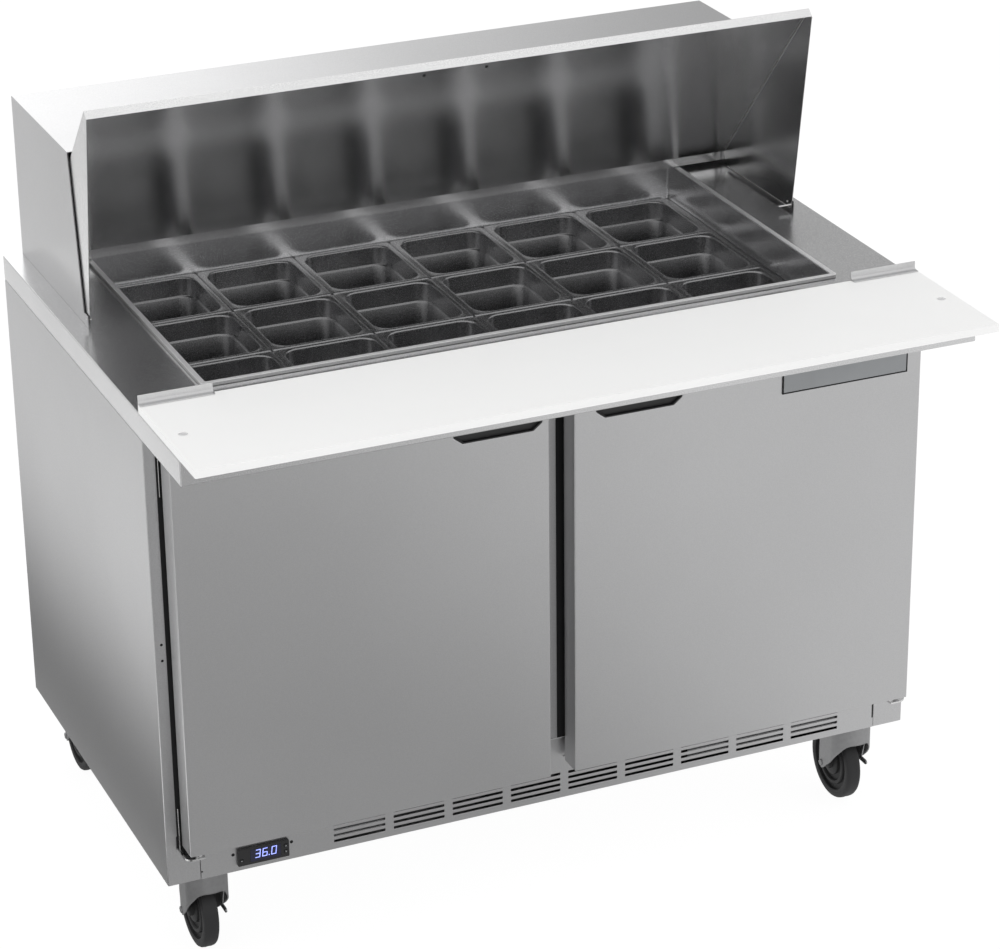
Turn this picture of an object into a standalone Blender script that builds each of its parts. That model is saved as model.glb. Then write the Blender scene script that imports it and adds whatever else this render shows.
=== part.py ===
"""Two-door sandwich prep table on casters, with its lid open.

Metres, +Z up. The origin is on the floor, below the middle of the object's footprint:
x runs along the front from left to right and +Y points at the wall behind the cabinet.
Depths in this file are measured forward from the cabinet's back, and heights up from the
floor of its body. world_y() and world_z() turn them into coordinates.
"""

from math import cos, pi, radians, sin

import bmesh
import bpy
from mathutils import Matrix, Vector

# The gap left between neighbours, and how far a cutter reaches past what it cuts.
GAP = 0.0003
OVERCUT = 0.0100

# Cabinet body and its foamed walls.
BODY_HALF_WIDTH = 0.6096
BODY_DEPTH = 0.6815
BODY_HEIGHT = 0.7100
WALL = 0.0450
FRONT_FRAME = 0.0400
MULLION_HALF_WIDTH = 0.0450
STILE_INNER_X = 0.5446
SILL_TOP = 0.1000
HEAD_RAIL_BOTTOM = 0.6700

# Machine compartment: low at the front, tall behind the insulated step.
MACHINE_HALF_WIDTH = 0.5590
MACHINE_FLOOR = 0.0040
MACHINE_FRONT_TOP = 0.0580
MACHINE_STEP_DEPTH = 0.2600
MACHINE_REAR_TOP = 0.3000
REAR_SKIN = 0.0030
STEP_WALL = 0.0400
LOUVRE_COUNT = 5
LOUVRE_PITCH = 0.0400
LOUVRE_HEIGHT = 0.0120
LOUVRE_HALF_WIDTH = 0.2500

# Worktop, pan opening and cutting board.
WORKTOP_DEPTH = 0.8490
WORKTOP_TOP = 0.7486
WORKTOP_SHEET = 0.0030
OPENING_HALF_WIDTH = 0.4955
OPENING_REAR = 0.0625
OPENING_FRONT = 0.6186
RIM_WIDTH = 0.0065
RIM_HEIGHT = 0.0060
BOARD_HALF_WIDTH = 0.6093
BOARD_REAR = 0.6700
BOARD_FRONT = 0.9130
BOARD_THICKNESS = 0.0114
BOARD_HOLE_X = 0.5840
BOARD_HOLE_DEPTH = 0.7900
BOARD_HOLE_RADIUS = 0.0065

# Hold-down clips at the board's rear corners.
CLIP_INNER_X = 0.5000
CLIP_OUTER_X = 0.6085
CLIP_SHEET = 0.0012
CLIP_RISE = 0.0135
CLIP_FOOT = 0.0105
CLIP_FILLET = 0.0040

# Food pans, sixth size, six across and three deep.
PAN_COLUMNS = 6
PAN_ROWS = 3
PAN_PITCH_X = 0.1615
PAN_PITCH_Y = 0.1755
PAN_FRONT_ROW_DEPTH = 0.5040
PAN_RIM_TOP = 0.6970
PAN_RIM_THICKNESS = 0.0030
PAN_RIM_HALF_X = 0.0805
PAN_RIM_HALF_Y = 0.0875
PAN_FLANGE = 0.0090
PAN_TAPER = 0.0050
PAN_HEIGHT = 0.1000
PAN_STEP_DROP = 0.0310
PAN_STEP = 0.0043
PAN_SHEET = 0.0012
PAN_CORNER = 0.0250
PAN_RIM_CORNER = 0.0060
PAN_STEP_HEIGHT = 0.0020
LEDGE_THICKNESS = 0.0020
LEDGE_OVERLAP = 0.0060
WELL_SHEET = 0.0015

# Hood and lid. The lid turns about LID_PIVOT, given as depth and height.
HOOD_HALF_WIDTH = 0.5786
HOOD_TOP = 1.0012
HOOD_TOP_DEPTH = 0.2880
HOOD_FOOT_DEPTH = 0.3235
HOOD_SHEET = 0.0020
HOOD_EAR_DEPTH = 0.3415
HOOD_EAR_TOP = 0.7657
LID_HALF_WIDTH = 0.5757
LID_SHEET = 0.0015
LID_SKIN = 0.0025
LID_LIP = 0.0124
LID_LENGTH = 0.4162
LID_SLOPE = radians(48.8)
LID_PIVOT = (0.3330, 0.7576)
LID_FREE_EDGE = (0.0470, 0.3310)
LID_FLANGE_BELOW_PIVOT = 0.0040
LID_FLANGE_FRONT = 0.0060
LID_FLANGE_REAR = 0.2190
LID_INSIDE_REACH = 0.6000
PIN_SHANK_RADIUS = 0.0030
PIN_HEAD_RADIUS = 0.0050
PIN_RUNNING_GAP = 0.0004
PIN_INNER_X = 0.5702
PIN_OUTER_X = 0.5910
TURNED_END_RADIUS = 0.0002
HANDLE_HALF_WIDTH = 0.0500
HANDLE_FOOT_START = 0.0220
HANDLE_BEND_TOP = 0.0490
HANDLE_BEND_FOOT = 0.0510
HANDLE_TIP = ((0.0750, 0.0380), (0.0765, 0.0370))

# Doors, gaskets and hinge brackets.
DOOR_INNER_X = 0.0198
DOOR_OUTER_X = 0.5888
DOOR_FRONT = 0.7316
DOOR_BACK = 0.6932
DOOR_BOTTOM = 0.0705
DOOR_TOP = 0.7000
HINGE_INSET = 0.0200
HINGE_PIN_RADIUS = 0.0040
HINGE_PIN_LENGTH = 0.0120
GASKET_INSET = 0.0100
GASKET_WIDTH = 0.0120
BRACKET_SHEET = 0.0022
BRACKET_ARM = 0.0030
BRACKET_LEG_TOP = 0.1300
BRACKET_LEG_BOTTOM = 0.0550
BRACKET_LEG_OVERHANG = 0.0050
BRACKET_LEG_INSET = 0.0010
BRACKET_ARM_INSET = 0.0110
BRACKET_ARM_SETBACK = 0.0060
HINGE_PIN_HOLE_END = 0.0020
PULL_OUTER_X = 0.1675
PULL_INNER_X = 0.0306
PULL_RIGHT_SHIFT = 0.0246
PULL_BOTTOM = 0.6421
PULL_SHOULDER = 0.6527
PULL_TOP = 0.6900
PULL_CHAMFER_X = 0.0135
PULL_DEPTH = 0.0240
PULL_WALL = 0.0025
BADGE_X = (0.3556, 0.5652)
BADGE_Z = (0.6264, 0.6900)
BADGE_THICKNESS = 0.0015

# Front grille and the temperature controller in it.
GRILLE_HALF_WIDTH = 0.5586
GRILLE_TOP = 0.0845
GRILLE_SHEET = 0.0028
SLOT_GROUPS = 9
SLOT_ROWS = 4
SLOT_FIRST_X = -0.3504
SLOT_PITCH_X = 0.0954
SLOT_LENGTH = 0.0819
SLOT_FIRST_Z = 0.0136
SLOT_PITCH_Z = 0.0094
SLOT_HEIGHT = 0.0036
BEZEL_X = (-0.5028, -0.4230)
BEZEL_Z = (0.0096, 0.0372)
BEZEL_RISE = 0.0050
CONTROLLER_REAR = 0.6400
CONTROLLER_MARGIN = 0.0045
BUTTON_HALF = 0.0025
BUTTON_POCKET = 0.0030
BUTTON_TRAVEL = 0.0011
BUTTON_PROUD = 0.0008
CASE_OVERLAP = 0.0020
BUTTON_PLACES = {
    "button_set": (-0.4975, 0.0185),
    "button_up": (-0.4283, 0.0285),
    "button_down": (-0.4283, 0.0185),
}

# Casters: a kingpin in the body's floor, and a wheel trailing behind it.
CASTER_X = 0.5400
CASTER_DEPTHS = {"front": 0.6425, "rear": 0.0512}
CASTER_TRAIL = 0.0405
WHEEL_RADIUS = 0.0625
WHEEL_HALF_WIDTH = 0.0120
WHEEL_SEGMENTS = 20
AXLE_DROP = 0.0935
AXLE_RADIUS = 0.0040
HUB_RADIUS = 0.0120
HUB_HALF_WIDTH = 0.0185
FORK_RADIUS = 0.0325
FORK_SHEET = 0.0025
FORK_TOP = -0.0040
FORK_BOTTOM = -0.0660
FORK_CEILING = 0.0060
LEG_X = (0.0205, 0.0230)
LEG_END_RADIUS = 0.0110
LEG_FRONT = 0.0120
LEG_REAR_TOP = 0.0200
LEG_REAR_BOTTOM = 0.0260
KINGPIN_RADIUS = 0.0060
NUT_RADIUS = 0.0100
NUT_HEIGHT = 0.0060
AXLE_HEAD_RADIUS = 0.0070
AXLE_HEAD_HEIGHT = 0.0040
ARCH_RADIUS = 0.0355
ARCH_CENTRE_DROP = 0.0155
ARCH_REAR = 0.0125
WHEEL_CLEARANCE = 0.0010
WHEEL_CLEARANCE_REACH = 0.0500
WHEEL_GROOVE_INNER = 0.0500
WHEEL_GROOVE_OUTER = 0.0605
WHEEL_TREAD_HALF_WIDTH = 0.0090
WHEEL_WEB_HALF_WIDTH = 0.0060
BRAKE_X = (0.0240, 0.0266)
BRAKE_PIVOT_DROP = 0.0500
BRAKE_LENGTH = 0.0400
BRAKE_RADIUS = 0.0050
RIVET_RADIUS = 0.0025

# Refrigeration and shelves.
COMPRESSOR_AT = (-0.2500, 0.1300)
COMPRESSOR_RADIUS = 0.0750
COMPRESSOR_HEIGHT = 0.1900
COMPRESSOR_SEGMENTS = 20
COMPRESSOR_PROFILE = ((0.80, 0.00), (1.00, 0.10), (1.00, 0.72), (0.86, 0.90), (0.50, 1.00))
CONDENSER_X = (0.0800, 0.4800)
CONDENSER_DEPTHS = (0.1600, 0.2000)
CONDENSER_Z = (0.0200, 0.2300)
EVAPORATOR_X = (-0.2500, 0.2500)
EVAPORATOR_DEPTHS = (0.0500, 0.1100)
EVAPORATOR_Z = (0.4200, 0.5800)
FIN_COUNT = 12
FAN_THICKNESS = 0.0100
FAN_BLADES = 5
FAN_WAIST = 0.2400
FAN_OUTLINE_POINTS = 40
CONDENSER_FAN_RADIUS = 0.0900
CONDENSER_FAN_DEPTH = 0.1300
EVAPORATOR_FAN_RADIUS = 0.0700
EVAPORATOR_FAN_DEPTH = 0.1400
SHELF_X = (0.0500, 0.5500)
SHELF_DEPTHS = (0.0550, 0.6300)
SHELF_Z = (0.3500, 0.3560)
SHELF_SLOTS = 12
SHELF_FRAME = 0.0120
SHELF_BAR = 0.0060

REAR_WHEEL_REACH = CASTER_TRAIL + WHEEL_RADIUS - CASTER_DEPTHS["rear"]
BACK_Y = (BOARD_FRONT - REAR_WHEEL_REACH) / 2
FLOOR_DROP = AXLE_DROP + WHEEL_RADIUS

# Finishes: colour, roughness, metallic.
STAINLESS = ((0.60, 0.60, 0.61), 0.30, 1.0)
SATIN_STAINLESS = ((0.42, 0.42, 0.43), 0.38, 1.0)
BRIGHT_STAINLESS = ((0.78, 0.78, 0.78), 0.20, 1.0)
GALVANISED = ((0.40, 0.41, 0.42), 0.45, 1.0)
POLYETHYLENE = ((0.88, 0.88, 0.87), 0.45, 0.0)
BLACK_PLASTIC = ((0.02, 0.02, 0.02), 0.40, 0.0)
GREY_PLASTIC = ((0.25, 0.25, 0.25), 0.50, 0.0)
RUBBER = ((0.03, 0.03, 0.03), 0.80, 0.0)
WHEEL_GREY = ((0.09, 0.09, 0.09), 0.60, 0.0)
BLACK_ENAMEL = ((0.03, 0.03, 0.03), 0.35, 0.0)
ALUMINIUM = ((0.70, 0.70, 0.70), 0.40, 1.0)
WHITE_COATED_WIRE = ((0.80, 0.80, 0.80), 0.50, 0.0)


def world_y(depth):
    return BACK_Y - depth


def world_z(height):
    return FLOOR_DROP + height


def clear_scene():
    for obj in list(bpy.data.objects):
        bpy.data.objects.remove(obj, do_unlink=True)


def make_material(name, finish):
    colour, roughness, metallic = finish
    material = bpy.data.materials.new(name)
    material.use_nodes = True
    shader = material.node_tree.nodes["Principled BSDF"]
    shader.inputs["Base Color"].default_value = (*colour, 1.0)
    shader.inputs["Roughness"].default_value = roughness
    shader.inputs["Metallic"].default_value = metallic
    material.diffuse_color = (*colour, 1.0)
    return material


def make_object(name, bm, origin=(0.0, 0.0, 0.0)):
    """An object whose origin is at the given world point, from a mesh in world coordinates."""
    bmesh.ops.recalc_face_normals(bm, faces=bm.faces)
    bm.transform(Matrix.Translation(-Vector(origin)))
    mesh = bpy.data.meshes.new(name)
    bm.to_mesh(mesh)
    bm.free()
    obj = bpy.data.objects.new(name, mesh)
    obj.location = origin
    bpy.context.scene.collection.objects.link(obj)
    return obj


def make_part(name, bm, finish, origin=(0.0, 0.0, 0.0), parent=None):
    obj = make_object(name, bm, origin)
    obj.data.materials.append(make_material(name, finish))
    if parent:
        obj.parent = parent
        obj.location = Vector(origin) - parent.location
    return obj


def shade_round(obj, angle=40):
    obj.data.shade_smooth()
    obj.data.set_sharp_from_angle(angle=radians(angle))


def combine(target, bm, operation):
    """Adds or removes the mesh bm, given in world coordinates, with a Boolean."""
    tool = make_object(f"{target.name}_{operation.lower()}_{len(target.modifiers)}", bm)
    tool.hide_render = True
    tool.display_type = "WIRE"
    modifier = target.modifiers.new(tool.name, "BOOLEAN")
    modifier.operation = operation
    modifier.solver = "EXACT"
    modifier.object = tool


def cut(target, *meshes):
    for bm in meshes:
        combine(target, bm, "DIFFERENCE")


def add(target, *meshes):
    for bm in meshes:
        combine(target, bm, "UNION")


def prism(outline, axis, start, end, bm=None):
    """A flat outline of two-number points, extruded along the x, y or z axis from start to end."""
    place = {
        "x": lambda p, along: (along, p[0], p[1]),
        "y": lambda p, along: (p[0], along, p[1]),
        "z": lambda p, along: (p[0], p[1], along),
    }[axis]
    bm = bm or bmesh.new()
    near = [bm.verts.new(place(p, start)) for p in outline]
    far = [bm.verts.new(place(p, end)) for p in outline]
    bm.faces.new(near)
    bm.faces.new(reversed(far))
    for i in range(len(outline)):
        j = (i + 1) % len(outline)
        bm.faces.new((near[j], near[i], far[i], far[j]))
    return bm


def side_prism(outline, half_width, bm=None):
    """An outline of (depth, height) points, as wide as the given half width on both sides."""
    points = [(world_y(depth), world_z(height)) for depth, height in outline]
    return prism(points, "x", -half_width, half_width, bm)


def block(x, depths, heights, bm=None):
    """A box from its two x, two depths and two heights."""
    near, far = min(depths), max(depths)
    outline = [(near, heights[0]), (far, heights[0]), (far, heights[1]), (near, heights[1])]
    points = [(world_y(depth), world_z(height)) for depth, height in outline]
    return prism(points, "x", min(x), max(x), bm)


def angles(segments):
    """The angles of a full turn in equal steps."""
    return [2 * pi * i / segments for i in range(segments)]


def circle(x, y, radius, z, segments):
    return [(x + radius * cos(a), y + radius * sin(a), z) for a in angles(segments)]


def arc(centre, radius, start, end, steps):
    """Points on an arc, angles in degrees."""
    angles = [radians(start + (end - start) * i / steps) for i in range(steps + 1)]
    return [(centre[0] + radius * cos(a), centre[1] + radius * sin(a)) for a in angles]


def disc(centre, axis, radius, start, end, segments=16, bm=None):
    """A cylinder. centre is the axis line's place in the two other coordinates."""
    return prism(arc(centre, radius, 0, 360 * (1 - 1 / segments), segments - 1), axis, start, end, bm)


def turned(section, centre, axis, segments):
    """A closed section of (radius, along) points turned about an axis through centre."""
    bm = bmesh.new()
    rings = []
    for angle in angles(segments):
        ring = []
        for radius, along in section:
            across = (radius * cos(angle), radius * sin(angle))
            local = (along, *across) if axis == "x" else (*across, along)
            ring.append(bm.verts.new(Vector(local) + Vector(centre)))
        rings.append(ring)
    for i in range(segments):
        this, after = rings[i], rings[(i + 1) % segments]
        for j in range(len(section)):
            k = (j + 1) % len(section)
            bm.faces.new((this[j], this[k], after[k], after[j]))
    return bm


def rounded_ring(centre, half_x, half_y, corner, z, steps=2):
    """Points of a rounded rectangle at height z."""
    points = []
    for quarter, (sx, sy) in enumerate(((1, 1), (-1, 1), (-1, -1), (1, -1))):
        middle = (centre[0] + sx * (half_x - corner), centre[1] + sy * (half_y - corner))
        points += arc(middle, corner, 90 * quarter, 90 * quarter + 90, steps)
    return [(x, y, z) for x, y in points]


def loft(rings):
    """A closed solid through rings of equal point counts, with flat ends."""
    bm = bmesh.new()
    loops = [[bm.verts.new(point) for point in ring] for ring in rings]
    for lower, upper in zip(loops, loops[1:]):
        for i in range(len(lower)):
            j = (i + 1) % len(lower)
            bm.faces.new((lower[i], lower[j], upper[j], upper[i]))
    bm.faces.new(loops[0])
    bm.faces.new(loops[-1])
    return bm


def build_cabinet():
    """Foamed cabinet: one insulated shell with two door openings above a machine compartment."""
    case = make_part(
        "cabinet_case",
        block((-BODY_HALF_WIDTH, BODY_HALF_WIDTH), (0, BODY_DEPTH), (0, BODY_HEIGHT)),
        SATIN_STAINLESS,
    )
    frame_back = BODY_DEPTH - FRONT_FRAME
    step_front = MACHINE_STEP_DEPTH + STEP_WALL
    step_top = MACHINE_REAR_TOP + STEP_WALL
    bay = [
        (frame_back, SILL_TOP),
        (step_front, SILL_TOP),
        (step_front, step_top),
        (WALL, step_top),
        (WALL, BODY_HEIGHT + OVERCUT),
        (frame_back, BODY_HEIGHT + OVERCUT),
    ]
    seat_back = BODY_DEPTH - GRILLE_SHEET - GAP
    machine = [
        (seat_back + GAP, MACHINE_FLOOR),
        (seat_back + GAP, MACHINE_FRONT_TOP),
        (MACHINE_STEP_DEPTH, MACHINE_FRONT_TOP),
        (MACHINE_STEP_DEPTH, MACHINE_REAR_TOP),
        (REAR_SKIN, MACHINE_REAR_TOP),
        (REAR_SKIN, MACHINE_FLOOR),
    ]
    seat_x = (-MACHINE_HALF_WIDTH, MACHINE_HALF_WIDTH)
    seat = block(seat_x, (seat_back, BODY_DEPTH + OVERCUT), (-OVERCUT, GRILLE_TOP + GAP))
    cut(case, side_prism(bay, BODY_HALF_WIDTH - WALL), side_prism(machine, MACHINE_HALF_WIDTH), seat)
    openings = bmesh.new()
    for side in (-1, 1):
        opening_x = (side * MULLION_HALF_WIDTH, side * STILE_INNER_X)
        door_depths = (frame_back - OVERCUT / 2, BODY_DEPTH + OVERCUT)
        block(opening_x, door_depths, (SILL_TOP, HEAD_RAIL_BOTTOM), openings)
    louvres = bmesh.new()
    for row in range(LOUVRE_COUNT):
        low = LOUVRE_PITCH * (row + 1.5)
        louvre_x = (-LOUVRE_HALF_WIDTH, LOUVRE_HALF_WIDTH)
        block(louvre_x, (-OVERCUT, OVERCUT), (low, low + LOUVRE_HEIGHT), louvres)
    holes = bmesh.new()
    for depth in CASTER_DEPTHS.values():
        for side in (-1, 1):
            place = (side * CASTER_X, world_y(depth))
            disc(place, "z", KINGPIN_RADIUS + GAP, world_z(-OVERCUT), world_z(OVERCUT), bm=holes)
    cut(case, openings, louvres, holes)


def build_worktop():
    """Deck with a turned-down band round it, cut out for the pans and hollow under its overhang."""
    low = BODY_HEIGHT + GAP
    deck = make_part(
        "worktop",
        block((-BODY_HALF_WIDTH, BODY_HALF_WIDTH), (0, WORKTOP_DEPTH), (low, WORKTOP_TOP)),
        STAINLESS,
    )
    opening_half = OPENING_HALF_WIDTH + GAP
    opening = block(
        (-opening_half, opening_half),
        (OPENING_REAR - GAP, OPENING_FRONT + GAP),
        (low - OVERCUT, WORKTOP_TOP + OVERCUT),
    )
    overhang = block(
        (-BODY_HALF_WIDTH + WORKTOP_SHEET, BODY_HALF_WIDTH - WORKTOP_SHEET),
        (BODY_DEPTH + OVERCUT, WORKTOP_DEPTH - WORKTOP_SHEET),
        (low - OVERCUT, WORKTOP_TOP - WORKTOP_SHEET),
    )
    cut(deck, opening, overhang)


def build_pan_well():
    """Liner that hangs in the opening by its raised rim and carries the pans on a ledge."""
    rows = [PAN_FRONT_ROW_DEPTH - PAN_PITCH_Y * row for row in range(PAN_ROWS)]
    ledge_top = PAN_RIM_TOP - PAN_RIM_THICKNESS - GAP
    half = OPENING_HALF_WIDTH
    heights = (ledge_top - LEDGE_THICKNESS, WORKTOP_TOP + RIM_HEIGHT / 2)
    well = make_part("pan_well", block((-half, half), (OPENING_REAR, OPENING_FRONT), heights), STAINLESS)
    rim_half = half + RIM_WIDTH
    rim_depths = (OPENING_REAR - RIM_WIDTH, OPENING_FRONT + RIM_WIDTH)
    rim = block((-rim_half, rim_half), rim_depths, (WORKTOP_TOP + GAP, WORKTOP_TOP + RIM_HEIGHT))
    add(well, rim)
    inner_half = half - WELL_SHEET
    inner_depths = (OPENING_REAR + WELL_SHEET, OPENING_FRONT - WELL_SHEET)
    inside = block((-inner_half, inner_half), inner_depths, (ledge_top, WORKTOP_TOP + OVERCUT))
    group_half = PAN_PITCH_X * PAN_COLUMNS / 2 - LEDGE_OVERLAP
    row_half = PAN_RIM_HALF_Y - LEDGE_OVERLAP
    bay_heights = (ledge_top - OVERCUT, ledge_top + LEDGE_THICKNESS)
    bays = bmesh.new()
    for depth in rows:
        block((-group_half, group_half), (depth - row_half, depth + row_half), bay_heights, bays)
    cut(well, inside, bays)


def pan_mesh(x, depth):
    """A sixth-size pan: rolled rim, a shallow upper band, a stacking step and a tapered body."""
    centre = (x, world_y(depth))
    top = world_z(PAN_RIM_TOP)
    upper_x = PAN_RIM_HALF_X - PAN_FLANGE
    upper_y = PAN_RIM_HALF_Y - PAN_FLANGE

    def ring(inward, drop):
        return rounded_ring(centre, upper_x - inward, upper_y - inward, PAN_CORNER - inward, top - drop)

    rim_x, rim_y = PAN_RIM_HALF_X, PAN_RIM_HALF_Y
    foot = PAN_STEP + PAN_TAPER
    return loft(
        [
            ring(foot, PAN_HEIGHT),
            ring(PAN_STEP, PAN_STEP_DROP + PAN_STEP_HEIGHT),
            ring(0, PAN_STEP_DROP),
            ring(0, PAN_RIM_THICKNESS),
            rounded_ring(centre, rim_x, rim_y, PAN_RIM_CORNER, top - PAN_RIM_THICKNESS),
            rounded_ring(centre, rim_x, rim_y, PAN_RIM_CORNER, top),
            ring(PAN_SHEET, 0),
            ring(PAN_SHEET, PAN_STEP_DROP - PAN_SHEET / 2),
            ring(PAN_STEP + PAN_SHEET, PAN_STEP_DROP + PAN_STEP_HEIGHT - PAN_SHEET / 2),
            ring(foot + PAN_SHEET, PAN_HEIGHT - PAN_SHEET),
        ]
    )


def build_pans():
    names = ("front", "middle", "rear")
    for row in range(PAN_ROWS):
        depth = PAN_FRONT_ROW_DEPTH - PAN_PITCH_Y * row
        for column in range(PAN_COLUMNS):
            x = PAN_PITCH_X * (column - (PAN_COLUMNS - 1) / 2)
            origin = (x, world_y(depth), world_z(PAN_RIM_TOP))
            pan = make_part(f"pan_{names[row]}_{column + 1}", pan_mesh(x, depth), BRIGHT_STAINLESS, origin)
            shade_round(pan, 30)


def build_board():
    low = WORKTOP_TOP + GAP
    top = low + BOARD_THICKNESS
    board = make_part(
        "cutting_board",
        block((-BOARD_HALF_WIDTH, BOARD_HALF_WIDTH), (BOARD_REAR, BOARD_FRONT), (low, top)),
        POLYETHYLENE,
        (0.0, world_y(BOARD_REAR), world_z(low)),
    )
    holes = bmesh.new()
    for side in (-1, 1):
        place = (side * BOARD_HOLE_X, world_y(BOARD_HOLE_DEPTH))
        ends = (world_z(low - OVERCUT), world_z(top + OVERCUT))
        disc(place, "z", BOARD_HOLE_RADIUS, *ends, bm=holes)
    cut(board, holes)


def build_clips():
    """Angle clips: an upright behind the board's rear edge and a foot over the board."""
    board_top = WORKTOP_TOP + GAP + BOARD_THICKNESS
    front = BOARD_REAR - GAP
    rear = front - CLIP_SHEET
    foot_low = board_top + GAP
    foot_top = foot_low + CLIP_SHEET
    top = board_top + CLIP_RISE
    fillet = arc((front + CLIP_FILLET, foot_top + CLIP_FILLET), CLIP_FILLET, 180, 270, 3)
    outline = [
        (rear, WORKTOP_TOP + GAP),
        (rear, top),
        (front, top),
        *fillet,
        (front + CLIP_FOOT, foot_top),
        (front + CLIP_FOOT, foot_low),
        (front, foot_low),
        (front, WORKTOP_TOP + GAP),
    ]
    points = [(world_y(depth), world_z(height)) for depth, height in outline]
    for name, side in (("left", -1), ("right", 1)):
        bm = prism(points, "x", side * CLIP_INNER_X, side * CLIP_OUTER_X)
        make_part(f"board_clip_{name}", bm, BRIGHT_STAINLESS)


def build_hood():
    """Fixed hood over the rear pans: top, back and two sides, open to the front."""
    low = WORKTOP_TOP + GAP
    outline = [
        (0, low),
        (0, HOOD_TOP),
        (HOOD_TOP_DEPTH, HOOD_TOP),
        (HOOD_FOOT_DEPTH, HOOD_EAR_TOP),
        (HOOD_EAR_DEPTH, HOOD_EAR_TOP),
        (HOOD_EAR_DEPTH, low),
    ]
    hood = make_part("hood", side_prism(outline, HOOD_HALF_WIDTH), STAINLESS)
    inner_half = HOOD_HALF_WIDTH - HOOD_SHEET
    inside = block(
        (-inner_half, inner_half),
        (HOOD_SHEET, HOOD_EAR_DEPTH + OVERCUT),
        (low - OVERCUT, HOOD_TOP - HOOD_SHEET),
    )
    cut(hood, inside, pin_holes(HOOD_HALF_WIDTH))


def pin_holes(half_width):
    """Running holes for the lid's pins, through the sheets that stand half_width either side."""
    pivot = (world_y(LID_PIVOT[0]), world_z(LID_PIVOT[1]))
    holes = bmesh.new()
    for side in (-1, 1):
        ends = (side * (half_width - OVERCUT), side * (half_width + OVERCUT))
        disc(pivot, "x", PIN_SHANK_RADIUS + PIN_RUNNING_GAP, *ends, bm=holes)
    return holes


def lid_point(along, outward):
    """(depth, height) of a point on the lid: along its panel from the free edge, and out of it."""
    depth = LID_PIVOT[0] + LID_FREE_EDGE[0] - along * cos(LID_SLOPE) - outward * sin(LID_SLOPE)
    height = LID_PIVOT[1] + LID_FREE_EDGE[1] - along * sin(LID_SLOPE) + outward * cos(LID_SLOPE)
    return depth, height


def build_lid():
    """Single-skin panel with a lip at its free edge and a three-cornered flange at each side."""
    origin = (0.0, world_y(LID_PIVOT[0]), world_z(LID_PIVOT[1]))
    flange_bottom = LID_PIVOT[1] - LID_FLANGE_BELOW_PIVOT
    outline = [
        (LID_PIVOT[0] + LID_FLANGE_FRONT, flange_bottom),
        lid_point(0, -LID_LIP),
        lid_point(0, LID_SKIN),
        lid_point(LID_LENGTH, LID_SKIN),
        (LID_PIVOT[0] - LID_FLANGE_REAR, flange_bottom),
    ]
    lid = make_part("lid_panel", side_prism(outline, LID_HALF_WIDTH), SATIN_STAINLESS, origin)
    inside = [
        lid_point(LID_SKIN, 0),
        lid_point(LID_INSIDE_REACH, 0),
        lid_point(LID_INSIDE_REACH, -LID_INSIDE_REACH),
        lid_point(LID_SKIN, -LID_INSIDE_REACH),
    ]
    cut(lid, side_prism(inside, LID_HALF_WIDTH - LID_SHEET), pin_holes(LID_HALF_WIDTH))
    build_lid_handle(lid)
    build_lid_pins()


def build_lid_handle(lid):
    """Pull tab: a foot screwed to the panel's outside and a plate that stands up from it."""
    base = LID_SKIN + GAP
    outline = [
        lid_point(HANDLE_FOOT_START, base),
        lid_point(HANDLE_FOOT_START, base + LID_SHEET),
        lid_point(HANDLE_BEND_TOP, base + LID_SHEET),
        lid_point(*HANDLE_TIP[0]),
        lid_point(*HANDLE_TIP[1]),
        lid_point(HANDLE_BEND_FOOT, base),
    ]
    origin = (0.0, world_y(LID_PIVOT[0]), world_z(LID_PIVOT[1]))
    bm = side_prism(outline, HANDLE_HALF_WIDTH)
    make_part("lid_handle", bm, STAINLESS, origin, lid)


def build_lid_pins():
    """Headed pins through the hood's ears and the lid's flanges."""
    centre = (0.0, world_y(LID_PIVOT[0]), world_z(LID_PIVOT[1]))
    neck_inner = LID_HALF_WIDTH - LID_SHEET - GAP
    neck_outer = HOOD_HALF_WIDTH + GAP
    for name, side in (("left", -1), ("right", 1)):
        section = [
            (TURNED_END_RADIUS, side * PIN_INNER_X),
            (PIN_HEAD_RADIUS, side * PIN_INNER_X),
            (PIN_HEAD_RADIUS, side * neck_inner),
            (PIN_SHANK_RADIUS, side * neck_inner),
            (PIN_SHANK_RADIUS, side * neck_outer),
            (PIN_HEAD_RADIUS, side * neck_outer),
            (PIN_HEAD_RADIUS, side * PIN_OUTER_X),
            (TURNED_END_RADIUS, side * PIN_OUTER_X),
        ]
        pin = make_part(f"lid_pin_{name}", solid_of_revolution(section, centre, "x", 16), BRIGHT_STAINLESS)
        shade_round(pin)


def solid_of_revolution(section, centre, axis, segments):
    """A turned solid: the first and last points of the section are its flat ends."""
    rings = []
    for radius, along in section[1:-1]:
        ring = []
        for angle in angles(segments):
            across = (radius * cos(angle), radius * sin(angle))
            local = (along, *across) if axis == "x" else (*across, along)
            ring.append(Vector(local) + Vector(centre))
        rings.append(ring)
    return loft(rings)


def pull_outline(side, margin):
    """Outline of a recessed pull in x and height, shrunk by margin."""
    low = PULL_BOTTOM + margin
    shift = PULL_RIGHT_SHIFT if side > 0 else 0.0
    outline = [
        (PULL_INNER_X + PULL_CHAMFER_X + margin, low),
        (PULL_OUTER_X - PULL_CHAMFER_X - margin, low),
        (PULL_OUTER_X - margin, PULL_SHOULDER),
        (PULL_OUTER_X - margin, PULL_TOP - margin),
        (PULL_INNER_X + margin, PULL_TOP - margin),
        (PULL_INNER_X + margin, PULL_SHOULDER),
    ]
    return [(side * x + shift, world_z(z)) for x, z in outline]


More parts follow.
